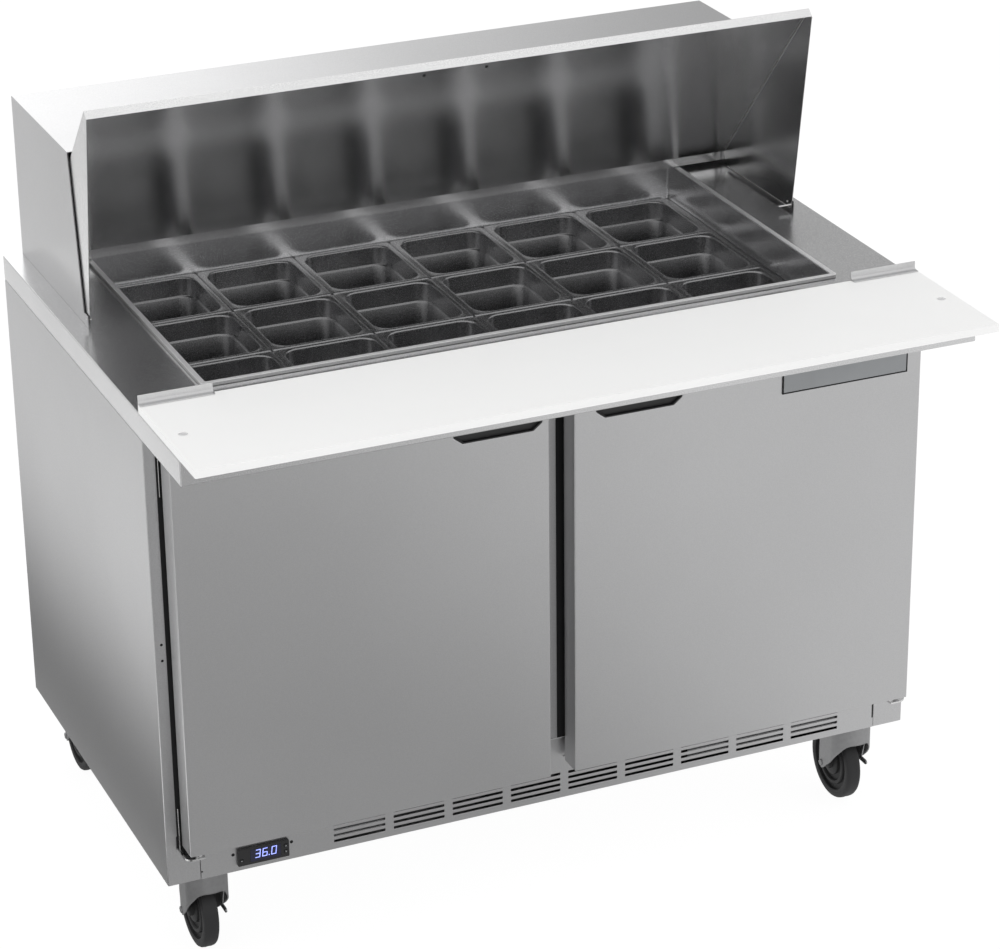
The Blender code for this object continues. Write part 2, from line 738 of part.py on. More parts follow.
def build_door(name, side):
    """A door with its gasket and recessed pull, turning on the pin of its bottom bracket."""
    hinge = (side * (DOOR_OUTER_X - HINGE_INSET), (DOOR_FRONT + DOOR_BACK) / 2)
    origin = (hinge[0], world_y(hinge[1]), world_z(DOOR_BOTTOM))
    body = block(
        (side * DOOR_INNER_X, side * DOOR_OUTER_X),
        (DOOR_BACK, DOOR_FRONT),
        (DOOR_BOTTOM, DOOR_TOP),
    )
    door = make_part(f"door_{name}", body, SATIN_STAINLESS, origin)
    pin_hole = disc(
        (hinge[0], world_y(hinge[1])),
        "z",
        HINGE_PIN_RADIUS + GAP,
        world_z(DOOR_BOTTOM - OVERCUT),
        world_z(DOOR_BOTTOM + HINGE_PIN_LENGTH + HINGE_PIN_HOLE_END),
    )
    front = world_y(DOOR_FRONT)
    recess = prism(pull_outline(side, 0), "y", front - OVERCUT, front + PULL_DEPTH)
    cut(door, pin_hole, recess)

    shell = prism(pull_outline(side, GAP), "y", front, front + PULL_DEPTH - GAP)
    pull = make_part(f"door_pull_{name}", shell, BLACK_PLASTIC, origin, door)
    cup = prism(pull_outline(side, PULL_WALL), "y", front - OVERCUT, front + PULL_DEPTH - PULL_WALL)
    cut(pull, cup)

    gasket_outer_x = DOOR_OUTER_X - HINGE_INSET
    gasket_inner_x = DOOR_INNER_X + GASKET_INSET
    gasket_z = (DOOR_BOTTOM + GASKET_INSET, DOOR_TOP - GASKET_INSET)
    depths = (BODY_DEPTH + GAP, DOOR_BACK - GAP)
    frame = block((side * gasket_inner_x, side * gasket_outer_x), depths, gasket_z)
    gasket = make_part(f"door_gasket_{name}", frame, RUBBER, origin, door)
    window = block(
        (side * (gasket_inner_x + GASKET_WIDTH), side * (gasket_outer_x - GASKET_WIDTH)),
        (depths[0] - OVERCUT, depths[1] + OVERCUT),
        (gasket_z[0] + GASKET_WIDTH, gasket_z[1] - GASKET_WIDTH),
    )
    cut(gasket, window)
    return door


def build_hinge_bracket(name, side):
    """Bottom hinge bracket: a leg on the cabinet's front, an arm under the door, and the pin."""
    outer = DOOR_OUTER_X + BRACKET_LEG_OVERHANG
    inner = DOOR_OUTER_X - HINGE_INSET + BRACKET_LEG_INSET
    leg_depths = (BODY_DEPTH + GAP, BODY_DEPTH + GAP + BRACKET_SHEET)
    leg = block((side * inner, side * outer), leg_depths, (BRACKET_LEG_BOTTOM, BRACKET_LEG_TOP))
    bracket = make_part(f"hinge_bracket_{name}", leg, GALVANISED)
    arm_top = DOOR_BOTTOM - GAP
    arm = block(
        (side * (inner - BRACKET_ARM_INSET), side * outer),
        (BODY_DEPTH + GAP, DOOR_FRONT - BRACKET_ARM_SETBACK),
        (arm_top - BRACKET_ARM, arm_top),
    )
    pin_place = (side * (DOOR_OUTER_X - HINGE_INSET), world_y((DOOR_FRONT + DOOR_BACK) / 2))
    pin_ends = (world_z(arm_top - BRACKET_ARM / 2), world_z(DOOR_BOTTOM + HINGE_PIN_LENGTH))
    pin = disc(pin_place, "z", HINGE_PIN_RADIUS, *pin_ends)
    add(bracket, arm, pin)


def build_badge(door):
    bm = block(BADGE_X, (DOOR_FRONT + GAP, DOOR_FRONT + GAP + BADGE_THICKNESS), BADGE_Z)
    make_part("badge_plate", bm, GREY_PLASTIC, tuple(door.location), door)


def build_grille():
    """Slotted front panel below the doors, with a cut-out for the controller."""
    panel_x = (-GRILLE_HALF_WIDTH, GRILLE_HALF_WIDTH)
    grille = make_part(
        "front_grille",
        block(panel_x, (BODY_DEPTH - GRILLE_SHEET, BODY_DEPTH), (GAP, GRILLE_TOP)),
        SATIN_STAINLESS,
    )
    holes = bmesh.new()
    through = (BODY_DEPTH - OVERCUT, BODY_DEPTH + OVERCUT)
    for group in range(SLOT_GROUPS):
        left = SLOT_FIRST_X + SLOT_PITCH_X * group
        for row in range(SLOT_ROWS):
            middle = SLOT_FIRST_Z + SLOT_PITCH_Z * row
            heights = (middle - SLOT_HEIGHT / 2, middle + SLOT_HEIGHT / 2)
            block((left, left + SLOT_LENGTH), through, heights, holes)
    margin = CONTROLLER_MARGIN - GAP
    cut_x = (BEZEL_X[0] + margin, BEZEL_X[1] - margin)
    cut_z = (BEZEL_Z[0] + margin, BEZEL_Z[1] - margin)
    block(cut_x, through, cut_z, holes)
    cut(grille, holes)


def build_controller():
    """Panel-mounted controller: a bezel with three pockets, and the case behind the grille."""
    face = BODY_DEPTH + GAP + BEZEL_RISE
    bezel = block(BEZEL_X, (BODY_DEPTH + GAP, face), BEZEL_Z)
    case = make_part("controller_case", bezel, BLACK_PLASTIC)
    back_x = (BEZEL_X[0] + CONTROLLER_MARGIN, BEZEL_X[1] - CONTROLLER_MARGIN)
    back_z = (BEZEL_Z[0] + CONTROLLER_MARGIN, BEZEL_Z[1] - CONTROLLER_MARGIN)
    add(case, block(back_x, (CONTROLLER_REAR, BODY_DEPTH + CASE_OVERLAP), back_z))
    pockets = bmesh.new()
    half = BUTTON_HALF
    for name, (x, z) in BUTTON_PLACES.items():
        wide = half + GAP
        pocket_depths = (face - BUTTON_POCKET, face + OVERCUT)
        block((x - wide, x + wide), pocket_depths, (z - wide, z + wide), pockets)
        button_depths = (face - BUTTON_POCKET + BUTTON_TRAVEL, face + BUTTON_PROUD)
        bm = block((x - half, x + half), button_depths, (z - half, z + half))
        make_part(name, bm, GREY_PLASTIC, (x, world_y(face), world_z(z)))
    cut(case, pockets)


def fork_mesh_parts(x, kingpin_y):
    """Kingpin with its nut and pressed cup, and the two legs that reach back to the axle."""
    axle = (kingpin_y + CASTER_TRAIL, world_z(-AXLE_DROP))
    top, bottom = world_z(FORK_TOP), world_z(FORK_BOTTOM)
    inner = FORK_RADIUS - FORK_SHEET
    nut = world_z(MACHINE_FLOOR) + GAP
    rings = (
        (KINGPIN_RADIUS, top - FORK_CEILING),
        (inner, top - FORK_CEILING),
        (inner, bottom),
        (FORK_RADIUS, bottom),
        (FORK_RADIUS, top),
        (KINGPIN_RADIUS, top),
        (KINGPIN_RADIUS, nut),
        (NUT_RADIUS, nut),
        (NUT_RADIUS, nut + NUT_HEIGHT),
    )
    body = loft([circle(x, kingpin_y, radius, z, 16) for radius, z in rings])
    legs = bmesh.new()
    outline = [
        (kingpin_y - LEG_FRONT, top - FORK_CEILING / 2),
        (kingpin_y - LEG_FRONT, bottom),
        *arc(axle, LEG_END_RADIUS, 215, 380, 6),
        (kingpin_y + LEG_REAR_BOTTOM, bottom),
        (kingpin_y + LEG_REAR_TOP, top - FORK_CEILING / 2),
    ]
    for side in (-1, 1):
        prism(outline, "x", x + side * LEG_X[0], x + side * LEG_X[1], legs)
    return body, legs


def build_caster(place, side_name, side):
    x = side * CASTER_X
    kingpin_y = world_y(CASTER_DEPTHS[place])
    axle = (x, kingpin_y + CASTER_TRAIL, world_z(-AXLE_DROP))
    name = f"{place}_{side_name}"
    braked = place == "front"
    body, legs = fork_mesh_parts(x, kingpin_y)
    fork = make_part(f"caster_fork_{name}", body, GALVANISED, (x, kingpin_y, world_z(FORK_TOP)))
    add(fork, legs)
    cut(fork, wheel_clearance(x, kingpin_y), front_arch(x, kingpin_y))
    bolt_reach = LEG_X[1] + AXLE_HEAD_HEIGHT
    bolt = disc(axle[1:], "x", AXLE_RADIUS, x - bolt_reach, x + bolt_reach)
    heads = bmesh.new()
    for end in (-1, 1):
        start = x + end * (LEG_X[0] + LEG_X[1]) / 2
        disc(axle[1:], "x", AXLE_HEAD_RADIUS, start, x + end * bolt_reach, 12, heads)
    add(fork, bolt, heads)
    shade_round(fork)
    wheel = make_part(f"caster_wheel_{name}", wheel_mesh(axle), WHEEL_GREY, axle, fork)
    shade_round(wheel)
    if braked:
        build_brake(name, x, kingpin_y, fork)


def wheel_clearance(x, kingpin_y):
    """The cup is open behind, where the wheel turns."""
    half = LEG_X[0] - WHEEL_CLEARANCE
    low, high = world_z(FORK_BOTTOM) - OVERCUT, world_z(FORK_TOP) - FORK_CEILING
    rear = kingpin_y + WHEEL_CLEARANCE_REACH
    outline = [(kingpin_y, low), (rear, low), (rear, high), (kingpin_y, high)]
    return prism(outline, "x", x - half, x + half)


def front_arch(x, kingpin_y):
    """The cup's front wall ends in an arch."""
    place = (x, world_z(FORK_BOTTOM) - ARCH_CENTRE_DROP)
    front = kingpin_y - FORK_RADIUS - OVERCUT
    return disc(place, "y", ARCH_RADIUS, front, kingpin_y - ARCH_REAR, 20)


def wheel_mesh(axle):
    right = [
        (WHEEL_RADIUS, WHEEL_TREAD_HALF_WIDTH),
        (WHEEL_GROOVE_OUTER, WHEEL_HALF_WIDTH),
        (WHEEL_GROOVE_INNER, WHEEL_HALF_WIDTH),
        (WHEEL_GROOVE_INNER, WHEEL_WEB_HALF_WIDTH),
        (HUB_RADIUS, WHEEL_WEB_HALF_WIDTH),
        (HUB_RADIUS, HUB_HALF_WIDTH),
        (AXLE_RADIUS + GAP, HUB_HALF_WIDTH),
    ]
    left = [(radius, -along) for radius, along in reversed(right)]
    return turned(right + left, axle, "x", WHEEL_SEGMENTS)


def build_brake(name, x, kingpin_y, fork):
    """Brake lever hanging beside the wheel from a rivet in the fork's right leg."""
    pivot_z = world_z(-BRAKE_PIVOT_DROP)
    upper = arc((kingpin_y, pivot_z), BRAKE_RADIUS, 0, 180, 6)
    lower = arc((kingpin_y, pivot_z - BRAKE_LENGTH), BRAKE_RADIUS, 180, 360, 6)
    lever = prism(upper + lower, "x", x + BRAKE_X[0], x + BRAKE_X[1])
    brake = make_part(f"caster_brake_{name}", lever, GALVANISED, (x, kingpin_y, pivot_z), fork)
    place = (kingpin_y, pivot_z)
    hole_ends = (x + LEG_X[1], x + BRAKE_X[1] + OVERCUT)
    cut(brake, disc(place, "x", RIVET_RADIUS + GAP, *hole_ends, 12))
    rivet_ends = (x + (LEG_X[0] + LEG_X[1]) / 2, x + BRAKE_X[1])
    add(fork, disc(place, "x", RIVET_RADIUS, *rivet_ends, 12))


def build_casters():
    for place in CASTER_DEPTHS:
        for side_name, side in (("left", -1), ("right", 1)):
            build_caster(place, side_name, side)


def finned_block(x, depths, heights):
    """A coil block: upright fins that stand out of one solid core."""
    core = (depths[0] + depths[1]) / 2
    pitch = (x[1] - x[0]) / (2 * FIN_COUNT - 1)
    outline = [(x[0], world_y(core)), (x[0], world_y(depths[1]))]
    for fin in range(FIN_COUNT):
        left = x[0] + 2 * pitch * fin
        outline += [(left, world_y(depths[1])), (left + pitch, world_y(depths[1]))]
        if fin < FIN_COUNT - 1:
            outline += [(left + pitch, world_y(core)), (left + 2 * pitch, world_y(core))]
    outline = outline[2:]
    outline += [(x[1], world_y(depths[0])), (x[0], world_y(depths[0]))]
    return prism(outline, "z", world_z(heights[0]), world_z(heights[1]))


def fan_mesh(x, z, radius, depth):
    """A flat bladed rotor: its outline swings between waist and tip once for each blade."""
    swing = (1 - FAN_WAIST) / 2
    outline = []
    for angle in angles(FAN_OUTLINE_POINTS):
        reach = radius * (1 - swing + swing * cos(FAN_BLADES * angle))
        outline.append((x + reach * cos(angle), z + reach * sin(angle)))
    return prism(outline, "y", world_y(depth), world_y(depth) + FAN_THICKNESS)


def build_fan(name, coil_x, coil_z, radius, depth):
    x = (coil_x[0] + coil_x[1]) / 2
    z = world_z((coil_z[0] + coil_z[1]) / 2)
    origin = (x, world_y(depth) + FAN_THICKNESS / 2, z)
    make_part(name, fan_mesh(x, z, radius, depth), BLACK_PLASTIC, origin)


def build_refrigeration():
    x, depth = COMPRESSOR_AT
    low = world_z(MACHINE_FLOOR + GAP)
    radius, height = COMPRESSOR_RADIUS, COMPRESSOR_HEIGHT
    rings = [
        circle(x, world_y(depth), share * radius, low + level * height, COMPRESSOR_SEGMENTS)
        for share, level in COMPRESSOR_PROFILE
    ]
    dome = loft(rings)
    compressor = make_part("compressor", dome, BLACK_ENAMEL)
    shade_round(compressor)
    make_part("condenser_coil", finned_block(CONDENSER_X, CONDENSER_DEPTHS, CONDENSER_Z), ALUMINIUM)
    make_part("evaporator_coil", finned_block(EVAPORATOR_X, EVAPORATOR_DEPTHS, EVAPORATOR_Z), ALUMINIUM)
    build_fan("condenser_fan", CONDENSER_X, CONDENSER_Z, CONDENSER_FAN_RADIUS, CONDENSER_FAN_DEPTH)
    build_fan("evaporator_fan", EVAPORATOR_X, EVAPORATOR_Z, EVAPORATOR_FAN_RADIUS, EVAPORATOR_FAN_DEPTH)


def build_shelf(name, side):
    """A shelf of bars across one bay."""
    x0, x1 = SHELF_X
    solid = block((side * x0, side * x1), SHELF_DEPTHS, SHELF_Z)
    shelf = make_part(f"shelf_{name}", solid, WHITE_COATED_WIRE)
    pitch = (x1 - x0 - SHELF_FRAME) / SHELF_SLOTS
    depths = (SHELF_DEPTHS[0] + SHELF_FRAME, SHELF_DEPTHS[1] - SHELF_FRAME)
    heights = (SHELF_Z[0] - OVERCUT, SHELF_Z[1] + OVERCUT)
    slots = bmesh.new()
    for i in range(SHELF_SLOTS):
        left = x0 + SHELF_FRAME + pitch * i
        block((side * left, side * (left + pitch - SHELF_BAR)), depths, heights, slots)
    cut(shelf, slots)


def build_prep_table():
    clear_scene()
    build_cabinet()
    build_worktop()
    build_pan_well()
    build_pans()
    build_board()
    build_clips()
    build_hood()
    build_lid()
    doors = {}
    for name, side in (("left", -1), ("right", 1)):
        doors[name] = build_door(name, side)
        build_hinge_bracket(name, side)
        build_shelf(name, side)
    build_badge(doors["right"])
    build_grille()
    build_controller()
    build_casters()
    build_refrigeration()


build_prep_table()
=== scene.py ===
"""Looks of the two-door sandwich prep table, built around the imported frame.

Metres, +Z up, the floor at z = 0 and the front facing -Y. Every piece takes its place from the
frame's own boxes; the constants below are only the small sizes that a box can't tell. A depth is
measured forward from the cabinet's back, and a height up from its underside.
"""

from math import cos, pi, radians, sin

import bmesh
import bpy
from mathutils import Matrix, Vector


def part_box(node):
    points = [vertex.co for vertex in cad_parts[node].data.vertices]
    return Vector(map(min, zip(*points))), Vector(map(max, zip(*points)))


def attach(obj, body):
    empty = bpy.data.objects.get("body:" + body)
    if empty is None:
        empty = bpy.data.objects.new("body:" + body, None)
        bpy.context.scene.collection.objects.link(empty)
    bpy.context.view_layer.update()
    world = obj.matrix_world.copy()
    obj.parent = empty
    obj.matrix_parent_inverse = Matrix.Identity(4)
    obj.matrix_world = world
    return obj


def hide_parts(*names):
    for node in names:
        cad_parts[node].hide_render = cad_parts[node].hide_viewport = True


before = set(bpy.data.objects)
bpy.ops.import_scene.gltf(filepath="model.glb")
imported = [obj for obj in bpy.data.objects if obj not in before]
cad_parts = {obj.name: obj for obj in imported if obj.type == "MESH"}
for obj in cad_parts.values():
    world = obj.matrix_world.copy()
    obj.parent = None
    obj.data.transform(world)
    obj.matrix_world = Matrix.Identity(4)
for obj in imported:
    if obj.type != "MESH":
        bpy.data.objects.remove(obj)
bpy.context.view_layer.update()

# Camera: where it stands, how it is turned, and its lens.
CAMERA_AT = (-1.84804, -4.40214, 2.76294)
CAMERA_YAW = -0.40351
CAMERA_PITCH = -0.426
CAMERA_ROLL = -0.01251
CAMERA_LENS = 123.36
SENSOR_WIDTH = 36

# Shared small sizes: the gap between neighbours, and how far a cutter runs past what it cuts.
SIDES = {"left": -1, "right": 1}
CLEAR = 0.0003
PAST = 0.01

# Cabinet front.
STILE_SCREW_X = 0.5988
STILE_SCREW_HEIGHTS = (0.3687, 0.3941)
STILE_SCREW_RADIUS = 0.0021
GAP_SHADE_TOP = 0.69
# A strip of painted gap shade: its near and far x, and the height of its foot.
STILE_GAP_SHADE = (0.57, 0.5925, 0.06)
MULLION_GAP_SHADE = (0.0125, 0.0285, 0.1052)
HINGE_BAR_X = 0.5893
HINGE_BAR_SPANS = ((0.0555, 0.1273), (0.6232, 0.6801))
HINGE_BAR_RADIUS = 0.0008
# Half the plate's width, and the heights of its foot and top; its hole's x, height and radius.
MULLION_PLATE = (0.029, 0.056, 0.1048)
MULLION_HOLE = (0.0232, 0.0738, 0.0022)

# Worktop and pan well.
WORKTOP_SHEET = 0.0014
WORKTOP_HEM = 0.012
WORKTOP_TURN_DOWN = 0.004
RIM_WIDTH = 0.0065
WALL = 0.0015
LEDGE_OVERLAP = 0.006
LEDGE_THICKNESS = 0.002

# Food pans.
PAN_ROWS = ("front", "middle", "rear")
# A pan's profile: inward from the rim's outer edge, down from the rim's top, and the corner radius.
PAN_PROFILE = (
    (0.0, 0.003, 0.005), (0.0002, 0.0018, 0.005), (0.001, 0.0007, 0.0048), (0.0024, 0.0001, 0.0044),
    (0.004, 0.0, 0.004), (0.0072, 0.0, 0.0256), (0.0083, 0.0005, 0.025), (0.0089, 0.0015, 0.0246),
    (0.0091, 0.003, 0.0244), (0.0093, 0.03, 0.0242), (0.0096, 0.0308, 0.024), (0.0113, 0.0316, 0.0228),
    (0.0118, 0.0326, 0.0224), (0.017, 0.09, 0.019), (0.0182, 0.095, 0.018), (0.0214, 0.0982, 0.016),
    (0.026, 0.099, 0.015),
)

# Cutting board: each hole's x, depth and radius.
BOARD_HOLE = (0.584, 0.79, 0.0065)
CLIP_SHEET = 0.0012
CLIP_FILLET = 0.004

# Hood and lid.
HOOD_TOP_REACH = 0.288
HOOD_FOOT_REACH = 0.3235
HOOD_EAR_HEIGHT = 0.0168
HOOD_SHEET = 0.0018
RAIL_DEPTHS = (0.05, 0.09)
RAIL_HEIGHTS = (0.756, 0.8)
RAIL_SHEET = 0.0015
LID_SLOPE = radians(48.8)
LID_LENGTH = 0.4162
LID_LIP = 0.0124
LID_SKIN = 0.0025
LID_SHEET = 0.0015
# How far the lid's free edge is forward of the pins, and above them.
LID_FREE_EDGE = (0.047, 0.331)
LID_FOOT_FRONT = 0.006
LID_FOOT_REAR = 0.219
LID_FOOT_DROP = 0.004
LID_HEM = 0.0004
# The stop rivet's depth and height.
LID_RIVET = (0.3265, 0.7616)
PULL_SCREW_X = 0.05
PULL_SCREW_ALONG = 0.035
LID_PIN_INNER = {"left": -0.5705, "right": 0.5552}
LID_PIN_RADIUS = 0.0017
LID_PIN_CHAMFER = 0.0005

# Doors.
PIN_INSET = 0.02
PIN_RADIUS = 0.004
PIN_COLLAR = 0.0065
# The cut of a pull's lower corners, in x and z.
PULL_SLANT = (0.0135, 0.0106)
PULL_WALL = 0.0012
PULL_HOLLOW = 0.0045
LINER_LIP = 0.016
LINER_CORNER = 0.02
GASKET_CORNER = 0.014
# The gasket's section: inward from its outer edge, and share of its depth.
BELLOWS = (
    (0.0, 0.0), (0.0, 0.22), (0.0022, 0.34), (0.0022, 0.44), (0.0, 0.56), (0.0, 1.0),
    (0.012, 1.0), (0.012, 0.6), (0.0098, 0.5), (0.012, 0.4), (0.012, 0.0),
)
BADGE_BORDER = 0.0022
BADGE_DEPTH = 0.0007
BRACKET_SHEET = 0.0022
BRACKET_LEG = 0.024
BRACKET_CORNER = 0.014
BRACKET_SLANT = 0.006
ARM_DROP = 0.0078
ARM_THICKNESS = 0.0026

# Front grille and controller.
SLOT_GROUPS = 9
SLOT_ROWS = 4
SLOT_FIRST_X = -0.3504
SLOT_PITCH_X = 0.0954
SLOT_LENGTH = 0.0819
SLOT_FIRST_Z = 0.0136
SLOT_PITCH_Z = 0.0094
SLOT_HEIGHT = 0.0044
BAFFLE_REACHES = ((-0.36, -0.264), (0.2353, 0.51))
BAFFLE_HEIGHTS = (0.0182, 0.048)
SEAM_HEIGHTS = (0.017, 0.05)
# The hole's radius and height.
GRILLE_HOLE = (0.0014, 0.0125)
WINDOW_CUT = 0.0042
BUTTONS = {"button_set": "set_button", "button_up": "up_button", "button_down": "down_button"}
SEGMENTS = {"3": "abgcd", "6": "afgecd", "0": "abcdef"}
# A digit's width and height, and where each stands along the display.
DIGIT_SIZE = (0.008, 0.0135)
DIGIT_SLANT = 0.12
DIGIT_PLACES = ((0.0, "3"), (0.0112, "6"), (0.0252, "0"))
POINT_PLACE = 0.0213
POINT_SIZE = 0.0015
MARK_HALF = 0.0012

# Casters. The skirt's edge: distance back from its front, and height above the axle.
FORK_EDGE = (
    (0.0, 0.0605), (0.003, 0.06), (0.0075, 0.056), (0.015, 0.0445), (0.02, 0.039),
    (0.028, 0.029), (0.04, 0.016), (0.055, 0.004), (0.066, -0.006), (0.073, -0.0095),
    (0.079, -0.006), (0.082, 0.002),
)
FORK_SHEET = 0.0025
FORK_TOP = -0.004
FORK_RADIUS = 0.0325
FORK_HALF_WIDTH = 0.0262
FORK_TAIL = 0.009
FORK_LEVELS = 8
FORK_LEG_STEPS = 14
CASTER_TRAIL = 0.0405
# An axle nut's radius, and its near and far sides' distances from the wheel's middle.
AXLE_NUT = (0.0055, 0.0268, 0.0296)
# Turned sections, as a radius and a distance along the axis; the wheel's radius is a share of its own.
WHEEL_SECTION = (
    (0.995, 0.0), (1.0, 0.0045), (0.99, 0.0085), (0.965, 0.0108), (0.93, 0.0118), (0.8, 0.0119),
    (0.78, 0.0112), (0.772, 0.0065), (0.64, 0.0062), (0.63, 0.01), (0.612, 0.011), (0.545, 0.011),
    (0.53, 0.01), (0.52, 0.0064), (0.375, 0.0066), (0.365, 0.011), (0.34, 0.0122), (0.2, 0.0125),
    (0.192, 0.018), (0.18, 0.0185), (0.07, 0.0185),
)
RACEWAY_SECTION = (
    (0.03, -0.0002), (0.0305, -0.0012), (0.0305, -0.003),
    (0.029, -0.0038), (0.012, -0.0038), (0.012, -0.0002),
)
BRAKE_FOOT = -0.08
# The brake's rivet: its height and the radius of its hole.
BRAKE_RIVET = (-0.05, 0.0028)
BRAKE_TOE = 0.0038
BRAKE_REACH = 0.0085
BRAKE_KNEE = 0.008

# Inside.
SHELF_BORDER = 0.003
SHELF_BEARERS = 3
SHELF_BEARER = 0.002
SHELF_WIRES = 24
SHELF_WIRE = 0.0014
# The compressor's dome, as shares of its radius and of its height.
DOME_SECTION = (
    (0.55, 0.0), (0.78, 0.02), (0.92, 0.07), (0.955, 0.14), (0.955, 0.5), (1.0, 0.505), (1.0, 0.525),
    (0.955, 0.53), (0.955, 0.7), (0.93, 0.8), (0.86, 0.89), (0.72, 0.955), (0.5, 0.99), (0.2, 1.0),
)
BLADES = 5
BLADE_STEPS = 6
BLADE_SWEEP = radians(46)
BLADE_THICKNESS = 0.0012
HUB_SHARE = 0.28

# Steel: how far from the middle plane it has its echo, and the heights over which the painted shade in a
# recess fades out.
ECHO_REACH = 0.578
RECESS_HEIGHTS = (0.765, 0.85)
GRAIN_FINE = 520
GRAIN_LONG = 7

# Studio: the floor's tones and the back card's, each a place along x and a level.
FLOOR_SIZE = 24
FLOOR_RANGE = (-4.6, 2.6)
FLOOR_TONES = (
    (-4.2, 0.08), (-3.2, 0.58), (-1.6, 0.58), (-1.36, 0.64), (-1.2, 0.8), (-1.04, 1.62),
    (-0.97, 1.05), (-0.9, 0.2), (-0.86, 0.02), (-0.77, 0.02), (-0.68, 0.42), (-0.3, 0.38),
    (0.15, 0.4), (0.7, 0.74), (2.0, 0.8),
)
FLOOR_LIFT = 1.06
FLOOR_LIFT_SHARE = 0.9
CARD_AT = (0.0, 2.6, 2.2)
CARD_SIZE = (8.0, 3.4)
CARD_RANGE = (-4.0, 4.0)
CARD_TONES = ((-4.0, 0.62), (-1.1, 0.74), (-0.45, 1.6), (0.2, 1.4), (0.9, 0.8), (1.7, 0.46), (4.0, 0.5))
WORLD_LEVEL = 0.78
MIRROR_LEVEL = 0.85
# Soft lights: name, place, what it points at, size and power.
AREA_LIGHTS = (
    ("top", (-0.4, -0.8, 3.6), (0, 0, 0.8), (3.4, 2.6), 22),
    ("left", (-3.6, -1.6, 1.8), (0, 0, 0.6), (2.2, 2.6), 10),
    ("right", (3.4, -2.4, 1.9), (0, 0, 0.6), (2.2, 2.6), 12),
)


# ---------------- materials


def set_inputs(tree, node, inputs):
    """Sets a node's inputs, given as values or as sockets to link from."""
    for key, value in inputs.items():
        if isinstance(value, bpy.types.NodeSocket):
            tree.links.new(value, node.inputs[key])
        else:
            node.inputs[key].default_value = value


def add_node(tree, kind, inputs=None, **settings):
    made = tree.nodes.new(kind)
    for key, value in settings.items():
        setattr(made, key, value)
    set_inputs(tree, made, inputs or {})
    return made


def coords(tree, stretch=(1, 1, 1)):
    source = add_node(tree, "ShaderNodeTexCoord")
    mapping = add_node(tree, "ShaderNodeMapping", {"Vector": source.outputs["Object"], "Scale": stretch})
    return mapping.outputs["Vector"]


def coordinate(tree, axis):
    return add_node(tree, "ShaderNodeSeparateXYZ", {"Vector": coords(tree)}).outputs[axis]


def noise(tree, scale, detail=3.0, roughness=0.5, stretch=(1, 1, 1)):
    inputs = {"Vector": coords(tree, stretch), "Scale": scale, "Detail": detail, "Roughness": roughness}
    return add_node(tree, "ShaderNodeTexNoise", inputs).outputs["Fac"]


def remap(tree, value, low, high, source=(0.3, 0.7)):
    inputs = {"Value": value, "From Min": source[0], "From Max": source[1], "To Min": low, "To Max": high}
    return add_node(tree, "ShaderNodeMapRange", inputs).outputs["Result"]


def maths(tree, operation, a, b, clamp=False):
    return add_node(tree, "ShaderNodeMath", {0: a, 1: b}, operation=operation, use_clamp=clamp).outputs[0]


def weighed(tree, a, share_a, b, share_b):
    """A sum of two values, each times its share."""
    return maths(tree, "ADD", maths(tree, "MULTIPLY", a, share_a), maths(tree, "MULTIPLY", b, share_b))


def blend_colour(tree, factor, a, b):
    """Colour a, turning into b as the factor rises; each is a tone or a socket."""
    ends = [end if isinstance(end, bpy.types.NodeSocket) else (*end, 1.0) for end in (a, b)]
    return add_node(tree, "ShaderNodeMix", {0: factor, 6: ends[0], 7: ends[1]}, data_type="RGBA").outputs[2]


def bump(tree, height, strength, distance=0.001, normal=None):
    inputs = {"Height": height, "Strength": strength, "Distance": distance}
    if normal:
        inputs["Normal"] = normal
    return add_node(tree, "ShaderNodeBump", inputs).outputs["Normal"]


def edge_highlight_mask(tree, radius=0.0012, gain=3.0):
    """Mask for a painted highlight: bright where the surface turns within radius of an edge."""
    softened = add_node(tree, "ShaderNodeBevel", {"Radius": radius}, samples=3)
    geometry = add_node(tree, "ShaderNodeNewGeometry")
    inputs = {0: softened.outputs["Normal"], 1: geometry.outputs["Normal"]}
    dot = add_node(tree, "ShaderNodeVectorMath", inputs, operation="DOT_PRODUCT").outputs["Value"]
    return maths(tree, "MULTIPLY", maths(tree, "SUBTRACT", 1.0, dot), gain, clamp=True)


def shade(colour, factor):
    return tuple(min(1.0, c * factor) for c in colour)


def mottled(tree, value, tone, spread, source=(0.3, 0.7)):
    """The tone, darker and lighter by its spread as the value runs through the source range."""
    share = remap(tree, value, 0, 1, source)
    return blend_colour(tree, share, shade(tone, 1 - spread), shade(tone, 1 + spread))


def ray_kind(tree):
    return add_node(tree, "ShaderNodeLightPath").outputs


def echo_level(tree, echo):
    """One where the steel is seen directly, the echo where it is seen mirrored in other steel."""
    near = maths(tree, "LESS_THAN", maths(tree, "ABSOLUTE", coordinate(tree, "X"), 0.0), ECHO_REACH)
    echoing = maths(tree, "MULTIPLY", ray_kind(tree)["Is Glossy Ray"], near)
    return remap(tree, echoing, 1.0, echo, (0.0, 1.0))


def steel_colour(tree, tone, grainy, edge, speckle, recess, echo):
    """Cloudy tone of a steel, with painted shade down in a recess, a painted highlight on its edges, and
    scaled by its echo.
    """
    smudge = noise(tree, 3.2, 4.0, 0.55)
    cloudy = mottled(tree, weighed(tree, grainy, 0.7, smudge, 0.3), tone, 0.03 + 0.09 * speckle, (0.4, 0.6))
    if recess:
        # Painted shade: below these heights the steel turns darker by the recess share, fading out as it
        # rises.
        open_share = remap(tree, coordinate(tree, "Z"), 0, 1, RECESS_HEIGHTS)
        cloudy = blend_colour(tree, open_share, shade(tone, 1 - recess), cloudy)
    # Painted highlight: the tone turns lighter where the surface turns at an edge.
    edge_highlighted = blend_colour(tree, edge, cloudy, shade(tone, 1.45))
    inputs = {0: edge_highlighted, 3: echo_level(tree, echo)}
    return add_node(tree, "ShaderNodeVectorMath", inputs, operation="SCALE").outputs[0]


